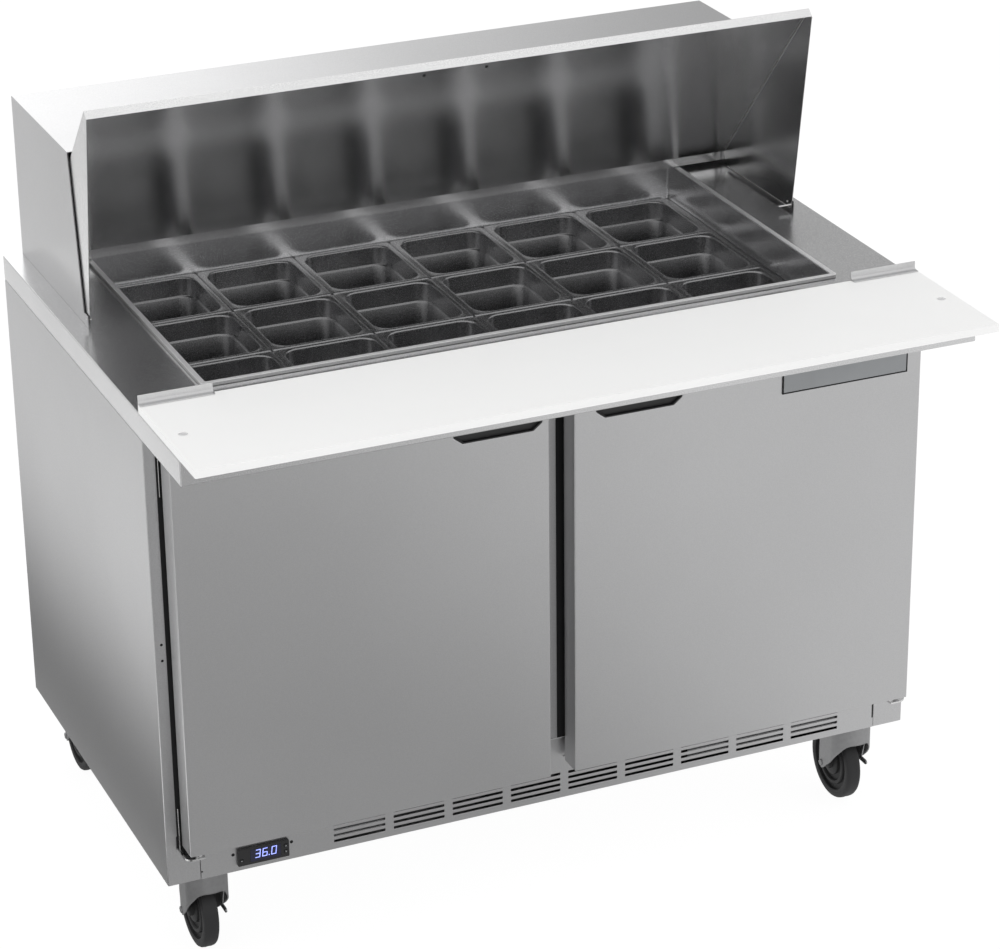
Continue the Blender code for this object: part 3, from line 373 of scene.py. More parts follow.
def steel_tangent(tree, grain):
    """The direction of the grain, for the stretched highlights across it."""
    axis = tuple(float(grain == letter) for letter in "xyz")
    spaces = {"vector_type": "VECTOR", "convert_from": "OBJECT", "convert_to": "WORLD"}
    return add_node(tree, "ShaderNodeVectorTransform", {"Vector": axis}, **spaces).outputs["Vector"]


def steel(
    tree, tone, roughness, grain="x", brushing=1.0, speckle=1.0, anisotropy=0.45, recess=0.0, echo=1.0
):
    """Satin sheet steel: fine grain, smudges, isotropic speckle, painted highlights on its edges and
    painted shade in recesses.

    The echo scales the tone of the steel where it is seen mirrored in other steel.
    """
    along = tuple(GRAIN_LONG if grain == letter else GRAIN_FINE for letter in "xyz")
    fine = noise(tree, 1.0, 5.0, 0.65, along)
    wipe = noise(tree, 1.0, 2.0, stretch=tuple(0.04 * a for a in along))
    grainy = noise(tree, 760.0, 2.0, 0.6)
    edge = edge_highlight_mask(tree)
    rough = maths(tree, "ADD", remap(tree, fine, -0.025 * brushing, 0.025 * brushing), roughness)
    for value, swing in ((wipe, 0.012 * brushing), (grainy, 0.04 * speckle)):
        rough = maths(tree, "ADD", rough, remap(tree, value, -swing, swing))
    rough = maths(tree, "SUBTRACT", rough, maths(tree, "MULTIPLY", edge, 0.08), clamp=True)
    lines = bump(tree, fine, 0.05 * brushing, 0.00025)
    return {
        "Base Color": steel_colour(tree, tone, grainy, edge, speckle, recess, echo),
        "Metallic": 1.0,
        "Roughness": rough,
        "Anisotropic": anisotropy,
        "Tangent": steel_tangent(tree, grain),
        "Normal": bump(tree, grainy, 0.05 * speckle, 0.0002, lines),
    }


def plated(tree, tone, roughness):
    """Zinc-plated pressed steel: faint spangle, dulled unevenly."""
    spangle = add_node(tree, "ShaderNodeTexVoronoi", {"Vector": coords(tree), "Scale": 160.0})
    cloud = noise(tree, 45.0, 4.0)
    mixed = maths(tree, "ADD", maths(tree, "MULTIPLY", spangle.outputs["Distance"], 0.5), cloud)
    return {
        "Base Color": mottled(tree, mixed, tone, 0.06, (0.4, 1.0)),
        "Metallic": 1.0,
        "Roughness": remap(tree, cloud, roughness - 0.03, roughness + 0.04),
        "Normal": bump(tree, noise(tree, 900.0), 0.12, 0.0003),
    }


def plastic(tree, tone, roughness, grain_scale, grain_depth, specular=0.5):
    """Moulded plastic or rubber with a fine moulded grain, light handling marks and a painted highlight on
    its edges.
    """
    cloud = noise(tree, 18.0, 4.0)
    grain = noise(tree, grain_scale, 3.0, 0.6)
    edge = edge_highlight_mask(tree, 0.001, 2.0)
    rough = maths(tree, "ADD", remap(tree, cloud, -0.05, 0.05), roughness)
    return {
        # Painted highlight: a lighter tone on the edges.
        "Base Color": blend_colour(tree, edge, mottled(tree, cloud, tone, 0.05), shade(tone, 1.6)),
        "Roughness": maths(tree, "ADD", rough, remap(tree, grain, -0.05, 0.05)),
        "Specular IOR Level": specular,
        "Normal": bump(tree, grain, grain_depth, 0.0004),
    }


def polyethylene(tree):
    """White polyethylene: matt micro-texture, faint knife marks, a little light carried inside."""
    tone = (0.93, 0.93, 0.925)
    texture = noise(tree, 1300.0, 2.0, 0.7)
    cuts = remap(tree, noise(tree, 4.0, 6.0, 0.75, (90, 5, 40)), 0, 1, (0.66, 0.7))
    base = blend_colour(tree, remap(tree, noise(tree, 6.0), 0, 1), shade(tone, 0.985), tone)
    height = maths(tree, "SUBTRACT", texture, maths(tree, "MULTIPLY", cuts, 0.6))
    return {
        "Base Color": blend_colour(tree, cuts, base, shade(tone, 0.93)),
        "Roughness": remap(tree, texture, 0.4, 0.52),
        "Subsurface Weight": 0.08,
        "Subsurface Radius": (0.004, 0.004, 0.004),
        "Normal": bump(tree, height, 0.1, 0.0003),
    }


def enamel(tree):
    """Black enamel with orange peel and a dusting on it."""
    dust = noise(tree, 30.0, 6.0, 0.7)
    dusty = remap(tree, dust, 0, 1, (0.45, 0.75))
    return {
        "Base Color": blend_colour(tree, dusty, (0.012, 0.012, 0.013), (0.06, 0.058, 0.055)),
        "Roughness": remap(tree, dust, 0.22, 0.55),
        "Coat Weight": 0.4,
        "Normal": bump(tree, noise(tree, 120.0, 2.0), 0.08, 0.0006),
    }


def fins(tree):
    """Aluminium fins packed finer than the modelled ones, drawn as light and dark stripes; the dark stripes
    are painted shade between the fins.
    """
    wave = {"Vector": coords(tree), "Scale": 240.0, "Distortion": 0.4}
    lines = add_node(tree, "ShaderNodeTexWave", wave).outputs["Fac"]
    bright = remap(tree, lines, 0, 1, (0, 1))
    return {
        "Base Color": blend_colour(tree, bright, (0.22, 0.22, 0.23), (0.74, 0.74, 0.75)),
        "Metallic": 0.9,
        "Roughness": remap(tree, noise(tree, 24.0, 5.0), 0.32, 0.55),
        "Normal": bump(tree, lines, 0.4, 0.0008),
    }


def display(tree):
    """Dark glass of the display, faintly lit from behind the digits."""
    smear = noise(tree, 260.0)
    lit = remap(tree, smear, 0, 1)
    return {
        "Base Color": (0.005, 0.005, 0.012, 1.0),
        "Roughness": remap(tree, smear, 0.08, 0.2),
        "Emission Color": blend_colour(tree, lit, (0.002, 0.002, 0.012), (0.003, 0.003, 0.024)),
        "Emission Strength": 1.0,
        "Coat Weight": 0.6,
    }


def lit_segments(tree):
    """Lit segments, a little brighter in patches."""
    patchy = remap(tree, noise(tree, 900.0, 2.0), 0, 1)
    glow = blend_colour(tree, patchy, (0.22, 0.28, 1.0), (0.42, 0.5, 1.0))
    return {"Base Color": (0.1, 0.1, 0.3, 1.0), "Emission Color": glow, "Emission Strength": 1.7}


def ramp(tree, value, stops):
    """Grey levels between the stops, each a position from 0 to 1 and a level."""
    made = add_node(tree, "ShaderNodeValToRGB", {"Fac": value})
    elements = made.color_ramp.elements
    while len(elements) < len(stops):
        elements.new(0.5)
    for element, (position, level) in zip(elements, stops):
        element.position = position
        element.color = (level, level, level, 1.0)
    return made.outputs["Color"]


def glow_along_x(tree, low, high, stops):
    """An emission whose level follows the object's x, from low to high."""
    place = add_node(tree, "ShaderNodeTexCoord").outputs["Object"]
    split = add_node(tree, "ShaderNodeSeparateXYZ", {"Vector": place})
    share = remap(tree, split.outputs["X"], 0.0, 1.0, (low, high))
    fitted = [((position - low) / (high - low), level) for position, level in stops]
    return add_node(tree, "ShaderNodeEmission", {"Color": ramp(tree, share, fitted)}).outputs[0]


def mix_shaders(tree, factor, a, b):
    return add_node(tree, "ShaderNodeMixShader", {0: factor, 1: a, 2: b}).outputs[0]


def new_material(name, recipe=None, *settings):
    """A material, its shader's inputs made by a recipe."""
    material = bpy.data.materials.new(name)
    material.use_nodes = True
    tree = material.node_tree
    if recipe:
        set_inputs(tree, tree.nodes["Principled BSDF"], recipe(tree, *settings))
    return material


def set_surface(material, surface):
    set_inputs(material.node_tree, material.node_tree.nodes["Material Output"], {"Surface": surface})


def pale_paint(tree):
    cloud = remap(tree, noise(tree, 0.8), 0, 1)
    colour = blend_colour(tree, cloud, (0.88, 0.88, 0.88), (0.91, 0.91, 0.91))
    return {"Base Color": colour, "Roughness": 0.9, "Specular IOR Level": 0.1}


def floor_material():
    """Pale floor. What steel mirrors of it is a set of soft studio tones that run from left to right."""
    material = new_material("pale_floor", pale_paint)
    tree = material.node_tree
    lift_glow = add_node(tree, "ShaderNodeEmission", {"Strength": FLOOR_LIFT}).outputs[0]
    seen = mix_shaders(tree, FLOOR_LIFT_SHARE, tree.nodes["Principled BSDF"].outputs[0], lift_glow)
    mirrored = glow_along_x(tree, *FLOOR_RANGE, FLOOR_TONES)
    set_surface(material, mix_shaders(tree, ray_kind(tree)["Is Glossy Ray"], seen, mirrored))
    return material


def card_material():
    material = new_material("soft_card")
    set_surface(material, glow_along_x(material.node_tree, *CARD_RANGE, CARD_TONES))
    return material


def grey(level):
    """A neutral tone, very slightly blue."""
    return (level, level, level + 0.005)


# Steel: tone, roughness, grain, brushing, speckle, anisotropy, recess (painted shade in a recess) and echo.
# Plastic: tone, roughness, scale and depth of its grain, and specular level.
RECIPES = {
    "top_steel": (steel, grey(0.72), 0.24, "x", 0.1, 0.9, 0.1, 0.0, 0.3),
    "hood_steel": (steel, grey(0.67), 0.3, "x", 0.1, 0.3, 0.1),
    "side_steel": (steel, grey(0.6), 0.3, "y", 0.1, 0.3, 0.1),
    "door_steel": (steel, grey(0.6), 0.33, "x", 0.3, 0.1),
    # lid_steel is toned far lighter than the hood's steel: painted light on the lid.
    "lid_steel": (steel, grey(0.96), 0.2, "x", 0.05, 1.0, 0.0),
    "rim_steel": (steel, grey(0.86), 0.58, "x", 0.1, 0.5, 0.0),
    "wall_steel": (steel, grey(0.76), 0.25, "x", 0.0, 0.8, 0.0),
    # pan_steel is toned dark: painted shade on the pans' insides.
    "pan_steel": (steel, (0.31, 0.31, 0.314), 0.27, "x", 0.0, 0.2, 0.0, 0.55, 1.8),
    "bright_steel": (steel, (0.8, 0.8, 0.8), 0.2, "x", 1.0, 1.0, 0.2),
    "plated_steel": (plated, grey(0.36), 0.46),
    "white_polyethylene": (polyethylene,),
    "black_plastic": (plastic, (0.018, 0.018, 0.019), 0.42, 1500.0, 0.25),
    "grey_plastic": (plastic, grey(0.16), 0.48, 1500.0, 0.25),
    "badge_grey": (plastic, (0.3, 0.31, 0.32), 0.4, 1800.0, 0.15),
    "gasket_rubber": (plastic, (0.012, 0.012, 0.013), 0.62, 800.0, 0.3, 0.3),
    "wheel_rubber": (plastic, (0.022, 0.022, 0.023), 0.55, 600.0, 0.3, 0.35),
    "white_liner": (plastic, (0.72, 0.72, 0.72), 0.4, 500.0, 0.15),
    "coated_wire": (plastic, (0.8, 0.8, 0.8), 0.38, 400.0, 0.1),
    "black_enamel": (enamel,),
    "coil_fins": (fins,),
    "display_glass": (display,),
    "lit_segments": (lit_segments,),
}
MATERIALS = {name: new_material(name, *recipe) for name, recipe in RECIPES.items()}


# ---------------- mesh tools


class Box:
    """A CAD node's box at rest: its corners, its spans, its middle and its half sizes."""

    def __init__(self, node):
        low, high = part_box(node)
        self.x0, self.y0, self.z0 = low
        self.x1, self.y1, self.z1 = high
        self.x, self.y, self.z = zip(low, high)
        self.middle = tuple((a + b) / 2 for a, b in zip(low, high))
        self.half = tuple((b - a) / 2 for a, b in zip(low, high))


def grow(span, by):
    """A span made longer at both ends, or shorter where by is negative."""
    return span[0] - by, span[1] + by


def arc(centre, radius, start, end, steps):
    """Points on an arc, angles in degrees."""
    turns = [radians(start + (end - start) * i / steps) for i in range(steps + 1)]
    return [(centre[0] + radius * cos(a), centre[1] + radius * sin(a)) for a in turns]


def rectangle(u, v):
    return [(u[0], v[0]), (u[1], v[0]), (u[1], v[1]), (u[0], v[1])]


def rounded(centre, half, corner, steps=6):
    """Outline of a rectangle with round corners."""
    points = []
    for quarter, (su, sv) in enumerate(((1, 1), (-1, 1), (-1, -1), (1, -1))):
        turn = (centre[0] + su * (half[0] - corner), centre[1] + sv * (half[1] - corner))
        points += arc(turn, corner, 90 * quarter, 90 * quarter + 90, steps)
    return points


def lift(outline, axis, along):
    """A flat outline set in space, at a distance along x, y or z."""
    at = "xyz".index(axis)
    return [(*point[:at], along, *point[at:]) for point in outline]


def loft(rings, cap_first=False, cap_last=False, closed=False, wrap=True, bm=None):
    """A surface through rings of equal point counts; their order sets which side faces out."""
    bm = bm or bmesh.new()
    loops = [[bm.verts.new(point) for point in ring] for ring in rings]
    pairs = list(zip(loops, loops[1:]))
    if closed:
        pairs.append((loops[-1], loops[0]))
    for lower, upper in pairs:
        for i in range(len(lower) if wrap else len(lower) - 1):
            j = (i + 1) % len(lower)
            bm.faces.new((lower[i], lower[j], upper[j], upper[i]))
    if cap_last:
        bm.faces.new(loops[-1])
    if cap_first:
        bm.faces.new(reversed(loops[0]))
    return bm


def solid_loft(rings, bm=None):
    return loft(rings, cap_first=True, cap_last=True, bm=bm)


def rounded_rings(middle, half, axis, section, steps=6):
    """Round-cornered rings; the section holds inward, place along the axis and corner radius."""
    rings = []
    for inward, along, corner in section:
        outline = rounded(middle, (half[0] - inward, half[1] - inward), corner, steps)
        rings.append(lift(outline, axis, along))
    return rings


def prism(outline, axis, start, end, bm=None):
    """A flat outline extruded along x, y or z."""
    bm = bm or bmesh.new()
    near = [bm.verts.new(point) for point in lift(outline, axis, start)]
    far = [bm.verts.new(point) for point in lift(outline, axis, end)]
    bm.faces.new(near)
    bm.faces.new(reversed(far))
    for i in range(len(outline)):
        j = (i + 1) % len(outline)
        bm.faces.new((near[j], near[i], far[i], far[j]))
    return bm


def block(x, y, z, bm=None):
    return prism(rectangle(y, z), "x", *x, bm)


def disc(centre, axis, radius, start, end, segments=24, bm=None):
    return prism(arc(centre, radius, 0, 360 * (1 - 1 / segments), segments - 1), axis, start, end, bm)


def turned(section, base, axis, segments):
    """Rings of a section of (radius, along) points turned about an axis through base."""
    towards = Vector(axis).normalized()
    across = towards.orthogonal().normalized()
    other = towards.cross(across)
    angles = [2 * pi * i / segments for i in range(segments)]
    spokes = [across * cos(angle) + other * sin(angle) for angle in angles]
    rings = []
    for radius, along in section:
        rings.append([Vector(base) + towards * along + spoke * radius for spoke in spokes])
    return rings


def wire(bm, start, end, radius, segments=10):
    """A straight round bar between two points."""
    length = (Vector(end) - Vector(start)).length
    solid_loft(turned([(radius, 0), (radius, length)], start, Vector(end) - Vector(start), segments), bm)


def screw_head(bm, base, axis, radius, height, segments=20):
    """A low domed head standing out of a face: base is on the face, axis the way it faces."""
    steps, flat_share = 5, 0.92
    turns = [radians(90 * i / steps) for i in range(steps + 1)]
    section = [(radius * cos(turn * flat_share), height * sin(turn)) for turn in turns]
    solid_loft(turned(section, base, axis, segments), bm)


def sheet_mesh(panels):
    """An open surface of flat panels, each a list of corners and the way it faces."""
    bm = bmesh.new()
    corners = {}
    for points, facing in panels:
        loop = []
        for point in points:
            key = tuple(round(value, 6) for value in point)
            if key not in corners:
                corners[key] = bm.verts.new(point)
            loop.append(corners[key])
        face = bm.faces.new(loop)
        face.normal_update()
        if face.normal.dot(Vector(facing)) < 0:
            face.normal_flip()
    return bm


def folded_shell(outline, span, facings):
    """Two end panels, and panels between them from the outline's numbered points on."""
    left, right = (lift(outline, "x", x) for x in span)
    panels = [(left, (-1, 0, 0)), (right, (1, 0, 0))]
    for i, facing in facings.items():
        panels.append(([left[i], left[i + 1], right[i + 1], right[i]], facing))
    return sheet_mesh(panels)


def put_in_scene(name, bm, recalculate=True):
    if recalculate:
        bmesh.ops.recalc_face_normals(bm, faces=bm.faces)
    mesh = bpy.data.meshes.new(name)
    bm.to_mesh(mesh)
    bm.free()
    obj = bpy.data.objects.new(name, mesh)
    bpy.context.scene.collection.objects.link(obj)
    return obj


def apply_boolean(obj, cutters, operation):
    """Cuts meshes out of the object, or joins them to it, and keeps the result as its mesh."""
    tools = [put_in_scene("tool", bm) for bm in cutters]
    for tool in tools:
        modifier = obj.modifiers.new("cut", "BOOLEAN")
        modifier.operation = operation
        modifier.solver = "EXACT"
        modifier.object = tool
    graph = bpy.context.evaluated_depsgraph_get()
    graph.update()
    mesh = bpy.data.meshes.new_from_object(obj.evaluated_get(graph))
    obj.modifiers.clear()
    obj.data = mesh
    for tool in tools:
        bpy.data.objects.remove(tool, do_unlink=True)


def round_edges(obj, width, segments, angle):
    modifier = obj.modifiers.new("rounded_edges", "BEVEL")
    modifier.width = width
    modifier.segments = segments
    modifier.limit_method = "ANGLE"
    modifier.angle_limit = radians(angle)


def keep_faces_flat(obj):
    modifier = obj.modifiers.new("flat_faces", "WEIGHTED_NORMAL")
    modifier.weight = 100
    return modifier


def add_piece(
    name, bm, material, replaces=(), bevel=0.0, segments=2, sheet=0.0, angle=30,
    body="cabinet", recalculate=True, cut=(), join=()
):
    """A finished piece on its body: cut, joined, its folds rounded, and a sheet given its thickness."""
    obj = put_in_scene(name, bm, recalculate)
    if cut:
        apply_boolean(obj, cut, "DIFFERENCE")
    if join:
        apply_boolean(obj, join, "UNION")
    mesh = obj.data
    mesh.materials.clear()
    mesh.materials.append(MATERIALS[material])
    mesh.shade_smooth()
    if bevel:
        round_edges(obj, bevel, segments, angle)
    else:
        mesh.set_sharp_from_angle(angle=radians(angle))
    if sheet:
        modifier = obj.modifiers.new("sheet", "SOLIDIFY")
        modifier.thickness = sheet
        modifier.offset = -1.0
        modifier.use_even_offset = True
    if bevel:
        keep_faces_flat(obj).keep_sharp = True
    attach(obj, body)
    if replaces:
        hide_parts(*replaces)


def soften_node(node, material, width=0.0008, segments=2):
    """A CAD node whose shape is right: welded, its edges rounded, and its material made."""
    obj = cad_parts[node]
    weld = obj.modifiers.new("weld", "WELD")
    weld.merge_threshold = 0.00002
    round_edges(obj, width, segments, 35)
    keep_faces_flat(obj)
    for slot in obj.material_slots:
        slot.material = MATERIALS[material]
    if not obj.material_slots:
        obj.data.materials.append(MATERIALS[material])


# ---------------- places


CASE = Box("cabinet_case")


def world_y(depth):
    return CASE.y1 - depth


def world_z(height):
    return CASE.z0 + height


def heights(low, high):
    return world_z(low), world_z(high)


def in_row(outline):
    """(depth, height) points as (y, z) points."""
    return [(world_y(depth), world_z(height)) for depth, height in outline]


# ---------------- cabinet


def build_case():
    """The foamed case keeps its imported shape; two screw holes are added on each stile."""
    soften_node("cabinet_case", "side_steel", 0.0014, 3)
    # Each hole is a black disc standing on the face: painted shade inside the hole.
    screws = bmesh.new()
    for height in STILE_SCREW_HEIGHTS:
        for side in SIDES.values():
            place = (side * STILE_SCREW_X, world_z(height))
            disc(place, "y", STILE_SCREW_RADIUS, CASE.y0 - 0.0002, CASE.y0 + 0.0006, 20, screws)
    add_piece("stile_screw_holes", screws, "gasket_rubber")


def build_gap_shade_strips():
    """Black strips round the door openings, on the stiles and the mullion: painted shade of the gaps beside
    the doors.
    """
    strips = bmesh.new()
    for side in SIDES.values():
        for near, far, low in (STILE_GAP_SHADE, MULLION_GAP_SHADE):
            span = sorted((side * near, side * far))
            block(span, (CASE.y0 - 0.0004, CASE.y0 - 0.0001), heights(low, GAP_SHADE_TOP), strips)
    add_piece("gap_shade_strips", strips, "gasket_rubber")


def build_hinge_bars():
    """Short upright bars in the gaps beside the doors, near their upper and lower hinges."""
    bars = bmesh.new()
    for span in HINGE_BAR_SPANS:
        low, high = heights(*span)
        for side in SIDES.values():
            x, y = side * HINGE_BAR_X, CASE.y0 - 0.0022
            wire(bars, (x, y, low), (x, y, high), HINGE_BAR_RADIUS, 12)
    add_piece("hinge_bars", bars, "bright_steel")


def build_mullion_plate():
    """Plate across the foot of the mullion, with one open hole and a hem on top."""
    half, *span = MULLION_PLATE
    hole_x, hole_height, radius = MULLION_HOLE
    plate = block((-half, half), (CASE.y0 - 0.0016, CASE.y0 - CLEAR), heights(*span))
    hole = disc((hole_x, world_z(hole_height)), "y", radius, CASE.y0 - PAST, CASE.y0 + 0.001)
    add_piece("mullion_plate", plate, "door_steel", bevel=0.0004, cut=[hole])
    # The hem is in the paler rim steel: a painted highlight along the plate's top edge.
    hem = bmesh.new()
    end, y, z = half - 0.0004, CASE.y0 - 0.001, world_z(span[1]) + 0.0004
    wire(hem, (-end, y, z), (end, y, z), 0.0006)
    add_piece("mullion_plate_hem", hem, "rim_steel")


def build_worktop():
    """Deck of one folded sheet: a turned-down band all round, and a hole for the pan well."""
    top, well = Box("worktop"), Box("pan_well")
    hem = rectangle(grow(top.x, -WORKTOP_HEM), grow(top.y, -WORKTOP_HEM))
    outer = rectangle(top.x, top.y)
    hole = rectangle(grow(well.x, CLEAR - RIM_WIDTH), grow(well.y, CLEAR - RIM_WIDTH))
    outlines = (hem, outer, outer, hole, hole)
    levels = (top.z0, top.z0, top.z1, top.z1, top.z1 - WORKTOP_TURN_DOWN)
    deck = loft([lift(outline, "z", z) for outline, z in zip(outlines, levels)])
    add_piece(
        "worktop_deck", deck, "top_steel", ["worktop"], 0.0018, 3, WORKTOP_SHEET,
        recalculate=False,
    )


def build_pan_well():
    """Raised rim, straight walls and a trim on the rear rim."""
    well, deck_top = Box("pan_well"), Box("worktop").z1 + CLEAR
    half = (well.half[0] - RIM_WIDTH, well.half[1] - RIM_WIDTH)
    ledge_top = well.z0 + LEDGE_THICKNESS
    section = [
        (-RIM_WIDTH, deck_top, 0.006),
        (-RIM_WIDTH, well.z1, 0.006),
        (WALL, well.z1, 0.003),
        (WALL, ledge_top + CLEAR, 0.003),
        (0.0, ledge_top + CLEAR, 0.0045),
        (0.0, deck_top, 0.0045),
    ]
    rim = loft(rounded_rings(well.middle, half, "z", section), closed=True)
    add_piece("pan_well_rim", rim, "rim_steel", ["pan_well"], 0.0012, 3)

    low, high = ledge_top + 2 * CLEAR, well.z1 - 0.0016
    near, far = WALL + 0.0002, WALL + 0.0007
    skin = [(near, low, 0.003), (near, high, 0.003), (far, high, 0.003), (far, low, 0.003)]
    walls = loft(rounded_rings(well.middle, half, "z", skin), closed=True)
    add_piece("pan_well_walls", walls, "wall_steel", bevel=0.0001)

    trim = block(
        grow(well.x, -RIM_WIDTH),
        (well.y1 - RIM_WIDTH - WALL + 0.001, well.y1 - 0.001),
        (well.z1 + 0.0001, well.z1 + 0.0006),
    )
    add_piece("pan_well_rear_trim", trim, "wall_steel", bevel=0.0001)


def build_ledge():
    """Ledge with crossbars between the rows, which carries the pans."""
    well = Box("pan_well")
    span = (well.z0, well.z0 + LEDGE_THICKNESS)
    ledge = block(grow(well.x, -RIM_WIDTH), grow(well.y, -RIM_WIDTH), span)
    bays = bmesh.new()
    bay_x = (Box("pan_front_1").x0 + LEDGE_OVERLAP, Box("pan_front_6").x1 - LEDGE_OVERLAP)
    for row in PAN_ROWS:
        block(bay_x, grow(Box(f"pan_{row}_1").y, -LEDGE_OVERLAP), (well.z0 - PAST, well.z1), bays)
    add_piece("pan_well_ledge", ledge, "pan_steel", bevel=0.0005, cut=[bays])


def build_pan(row, column):
    node = f"pan_{row}_{column}"
    box = Box(node)
    section = [(inward, box.z1 - drop, corner) for inward, drop, corner in PAN_PROFILE]
    rings = rounded_rings(box.middle, box.half, "z", section, 8)
    add_piece(
        f"food_{node}", loft(rings, cap_last=True), "pan_steel", [node], sheet=0.0007,
        angle=50, recalculate=False,
    )


def build_board():
    """White slab with a metal stud sunk in a hole near each end."""
    box = Box("cutting_board")
    hole_x, depth, radius = BOARD_HOLE
    slab = prism(rounded(box.middle, box.half, 0.002, 4), "z", *box.z)
    holes, studs = bmesh.new(), bmesh.new()
    for side in SIDES.values():
        place = (side * hole_x, world_y(depth))
        disc(place, "z", radius, box.z0 - PAST, box.z1 + PAST, 40, holes)
        disc(place, "z", radius - CLEAR, box.z0 + CLEAR, box.z1 - 0.0012, 40, studs)
    add_piece(
        "board_slab", slab, "white_polyethylene", ["cutting_board"], 0.0008, 3, cut=[holes],
        body="board",
    )
    add_piece("board_studs", studs, "rim_steel", bevel=0.0003, body="board")


def build_clip(side_name):
    """Folded angle: an upright behind the board and a foot over it, joined by a fillet."""
    node = f"board_clip_{side_name}"
    box = Box(node)
    foot_top = Box("cutting_board").z1 + 0.0015
    rear = box.y1 - CLIP_SHEET
    outline = [
        (box.y1, box.z0),
        (box.y1, box.z1),
        (rear, box.z1),
        *arc((rear - CLIP_FILLET, foot_top + CLIP_FILLET), CLIP_FILLET, 0, -90, 8),
        (box.y0, foot_top),
        (box.y0, foot_top - CLIP_SHEET),
        (rear, foot_top - CLIP_SHEET),
        (rear, box.z0),
    ]
    clip = prism(outline, "x", *box.x)
    add_piece(f"board_angle_{side_name}", clip, "hood_steel", [node], 0.0004)


def build_hood():
    """Fixed folded hood; the lid swings inside its front."""
    hood = Box("hood")
    foot, top = hood.z0 - CASE.z0, hood.z1 - CASE.z0
    ear, ear_depth = foot + HOOD_EAR_HEIGHT, hood.y1 - hood.y0
    front = [(HOOD_TOP_REACH, top), (HOOD_FOOT_REACH, ear), (ear_depth, ear), (ear_depth, foot)]
    shell = folded_shell(in_row([(0, foot), (0, top), *front]), hood.x, {1: (0, 0, 1), 0: (0, 1, 0)})
    add_piece(
        "hood_shell", shell, "hood_steel", ["hood"], 0.0012, 3, HOOD_SHEET, recalculate=False,
    )


def build_rear_rail():
    """Folded rail across the inside of the hood, behind the lid, clear of the worktop."""
    inside = Box("hood").x1 - 0.0024
    near, far = RAIL_DEPTHS
    low, high = RAIL_HEIGHTS
    inner, under = far - RAIL_SHEET, high - RAIL_SHEET
    outline = [(far, low), (far, high), (near, high), (near, under), (inner, under), (inner, low)]
    rail = prism(in_row(outline), "x", -inside, inside)
    add_piece("hood_rear_rail", rail, "bright_steel", bevel=0.0004)


# ---------------- lid


LID_PIN = Box("lid_pin_left").middle
PIVOT = (CASE.y1 - LID_PIN[1], LID_PIN[2] - CASE.z0)


def lid_point(along, outward):
    """(depth, height) on the lid: along its panel from the free edge, and out of it."""
    depth = PIVOT[0] + LID_FREE_EDGE[0] - along * cos(LID_SLOPE) - outward * sin(LID_SLOPE)
    height = PIVOT[1] + LID_FREE_EDGE[1] - along * sin(LID_SLOPE) + outward * cos(LID_SLOPE)
    return depth, height


def lid_direction(along, outward):
    """A direction in the row frame from its parts along the panel and out of it."""
    start, end = lid_point(0, 0), lid_point(along, outward)
    return Vector((0, start[0] - end[0], end[1] - start[1])).normalized()


def build_lid():
    """Folded panel with a lip and two three-cornered flanges that reach down to the pins."""
    foot = PIVOT[1] - LID_FOOT_DROP
    outline = in_row([
        (PIVOT[0] + LID_FOOT_FRONT, foot),
        lid_point(0, -LID_LIP),
        lid_point(0, LID_SKIN),
        lid_point(LID_LENGTH, LID_SKIN),
        (PIVOT[0] - LID_FOOT_REAR, foot),
    ])
    shell = folded_shell(outline, Box("lid_panel").x, {1: lid_direction(-1, 0), 2: lid_direction(0, 1)})
    add_piece(
        "lid_shell", shell, "lid_steel", ["lid_panel"], 0.0009, 3, LID_SHEET,
        recalculate=False, body="lid",
    )


def build_pull_screws():
    """Heads of the pull's two screws, inside the panel."""
    heads = bmesh.new()
    [(y, z)] = in_row([lid_point(PULL_SCREW_ALONG, LID_SKIN - 0.0016)])
    for side in SIDES.values():
        screw_head(heads, (side * PULL_SCREW_X, y, z), lid_direction(0, -1), 0.0028, 0.0012)
    add_piece("lid_handle_screws", heads, "gasket_rubber", body="lid")


def build_lid_trims():
    """Folded hems along the foot of each flange and up each seam, and a stop rivet by each pin."""
    foot = PIVOT[1] - LID_FOOT_DROP + LID_HEM
    ends = [
        ((PIVOT[0] - LID_FOOT_REAR + 0.004, foot), (PIVOT[0] + LID_FOOT_FRONT - 0.004, foot)),
        (lid_point(LID_LENGTH - 0.006, -LID_HEM), lid_point(0.006, -LID_HEM)),
    ]
    trims = bmesh.new()
    for side, face in zip(SIDES.values(), Box("lid_panel").x):
        x = face - side * (LID_SHEET + LID_HEM)
        for pair in ends:
            wire(trims, *lift(in_row(pair), "x", x), LID_HEM)
        [rivet] = lift(in_row([LID_RIVET]), "x", x)
        screw_head(trims, rivet, (-side, 0, 0), 0.0016, 0.001, 12)
    # The hems are in the paler rim steel: painted highlights along the flanges' feet and seams.
    add_piece("lid_hems", trims, "rim_steel", body="lid")


def build_lid_handle():
    """Pull screwed to the outside of the panel: a foot, a bend and a plate that stands up."""
    base = LID_SKIN + CLEAR
    outline = [
        lid_point(0.022, base),
        lid_point(0.022, base + 0.0015),
        lid_point(0.049, base + 0.0015),
        lid_point(0.075, 0.038),
        lid_point(0.0765, 0.037),
        lid_point(0.051, base),
    ]
    pull = prism(in_row(outline), "x", *Box("lid_handle").x)
    add_piece("lid_pull", pull, "hood_steel", ["lid_handle"], 0.0006, 3, body="lid")


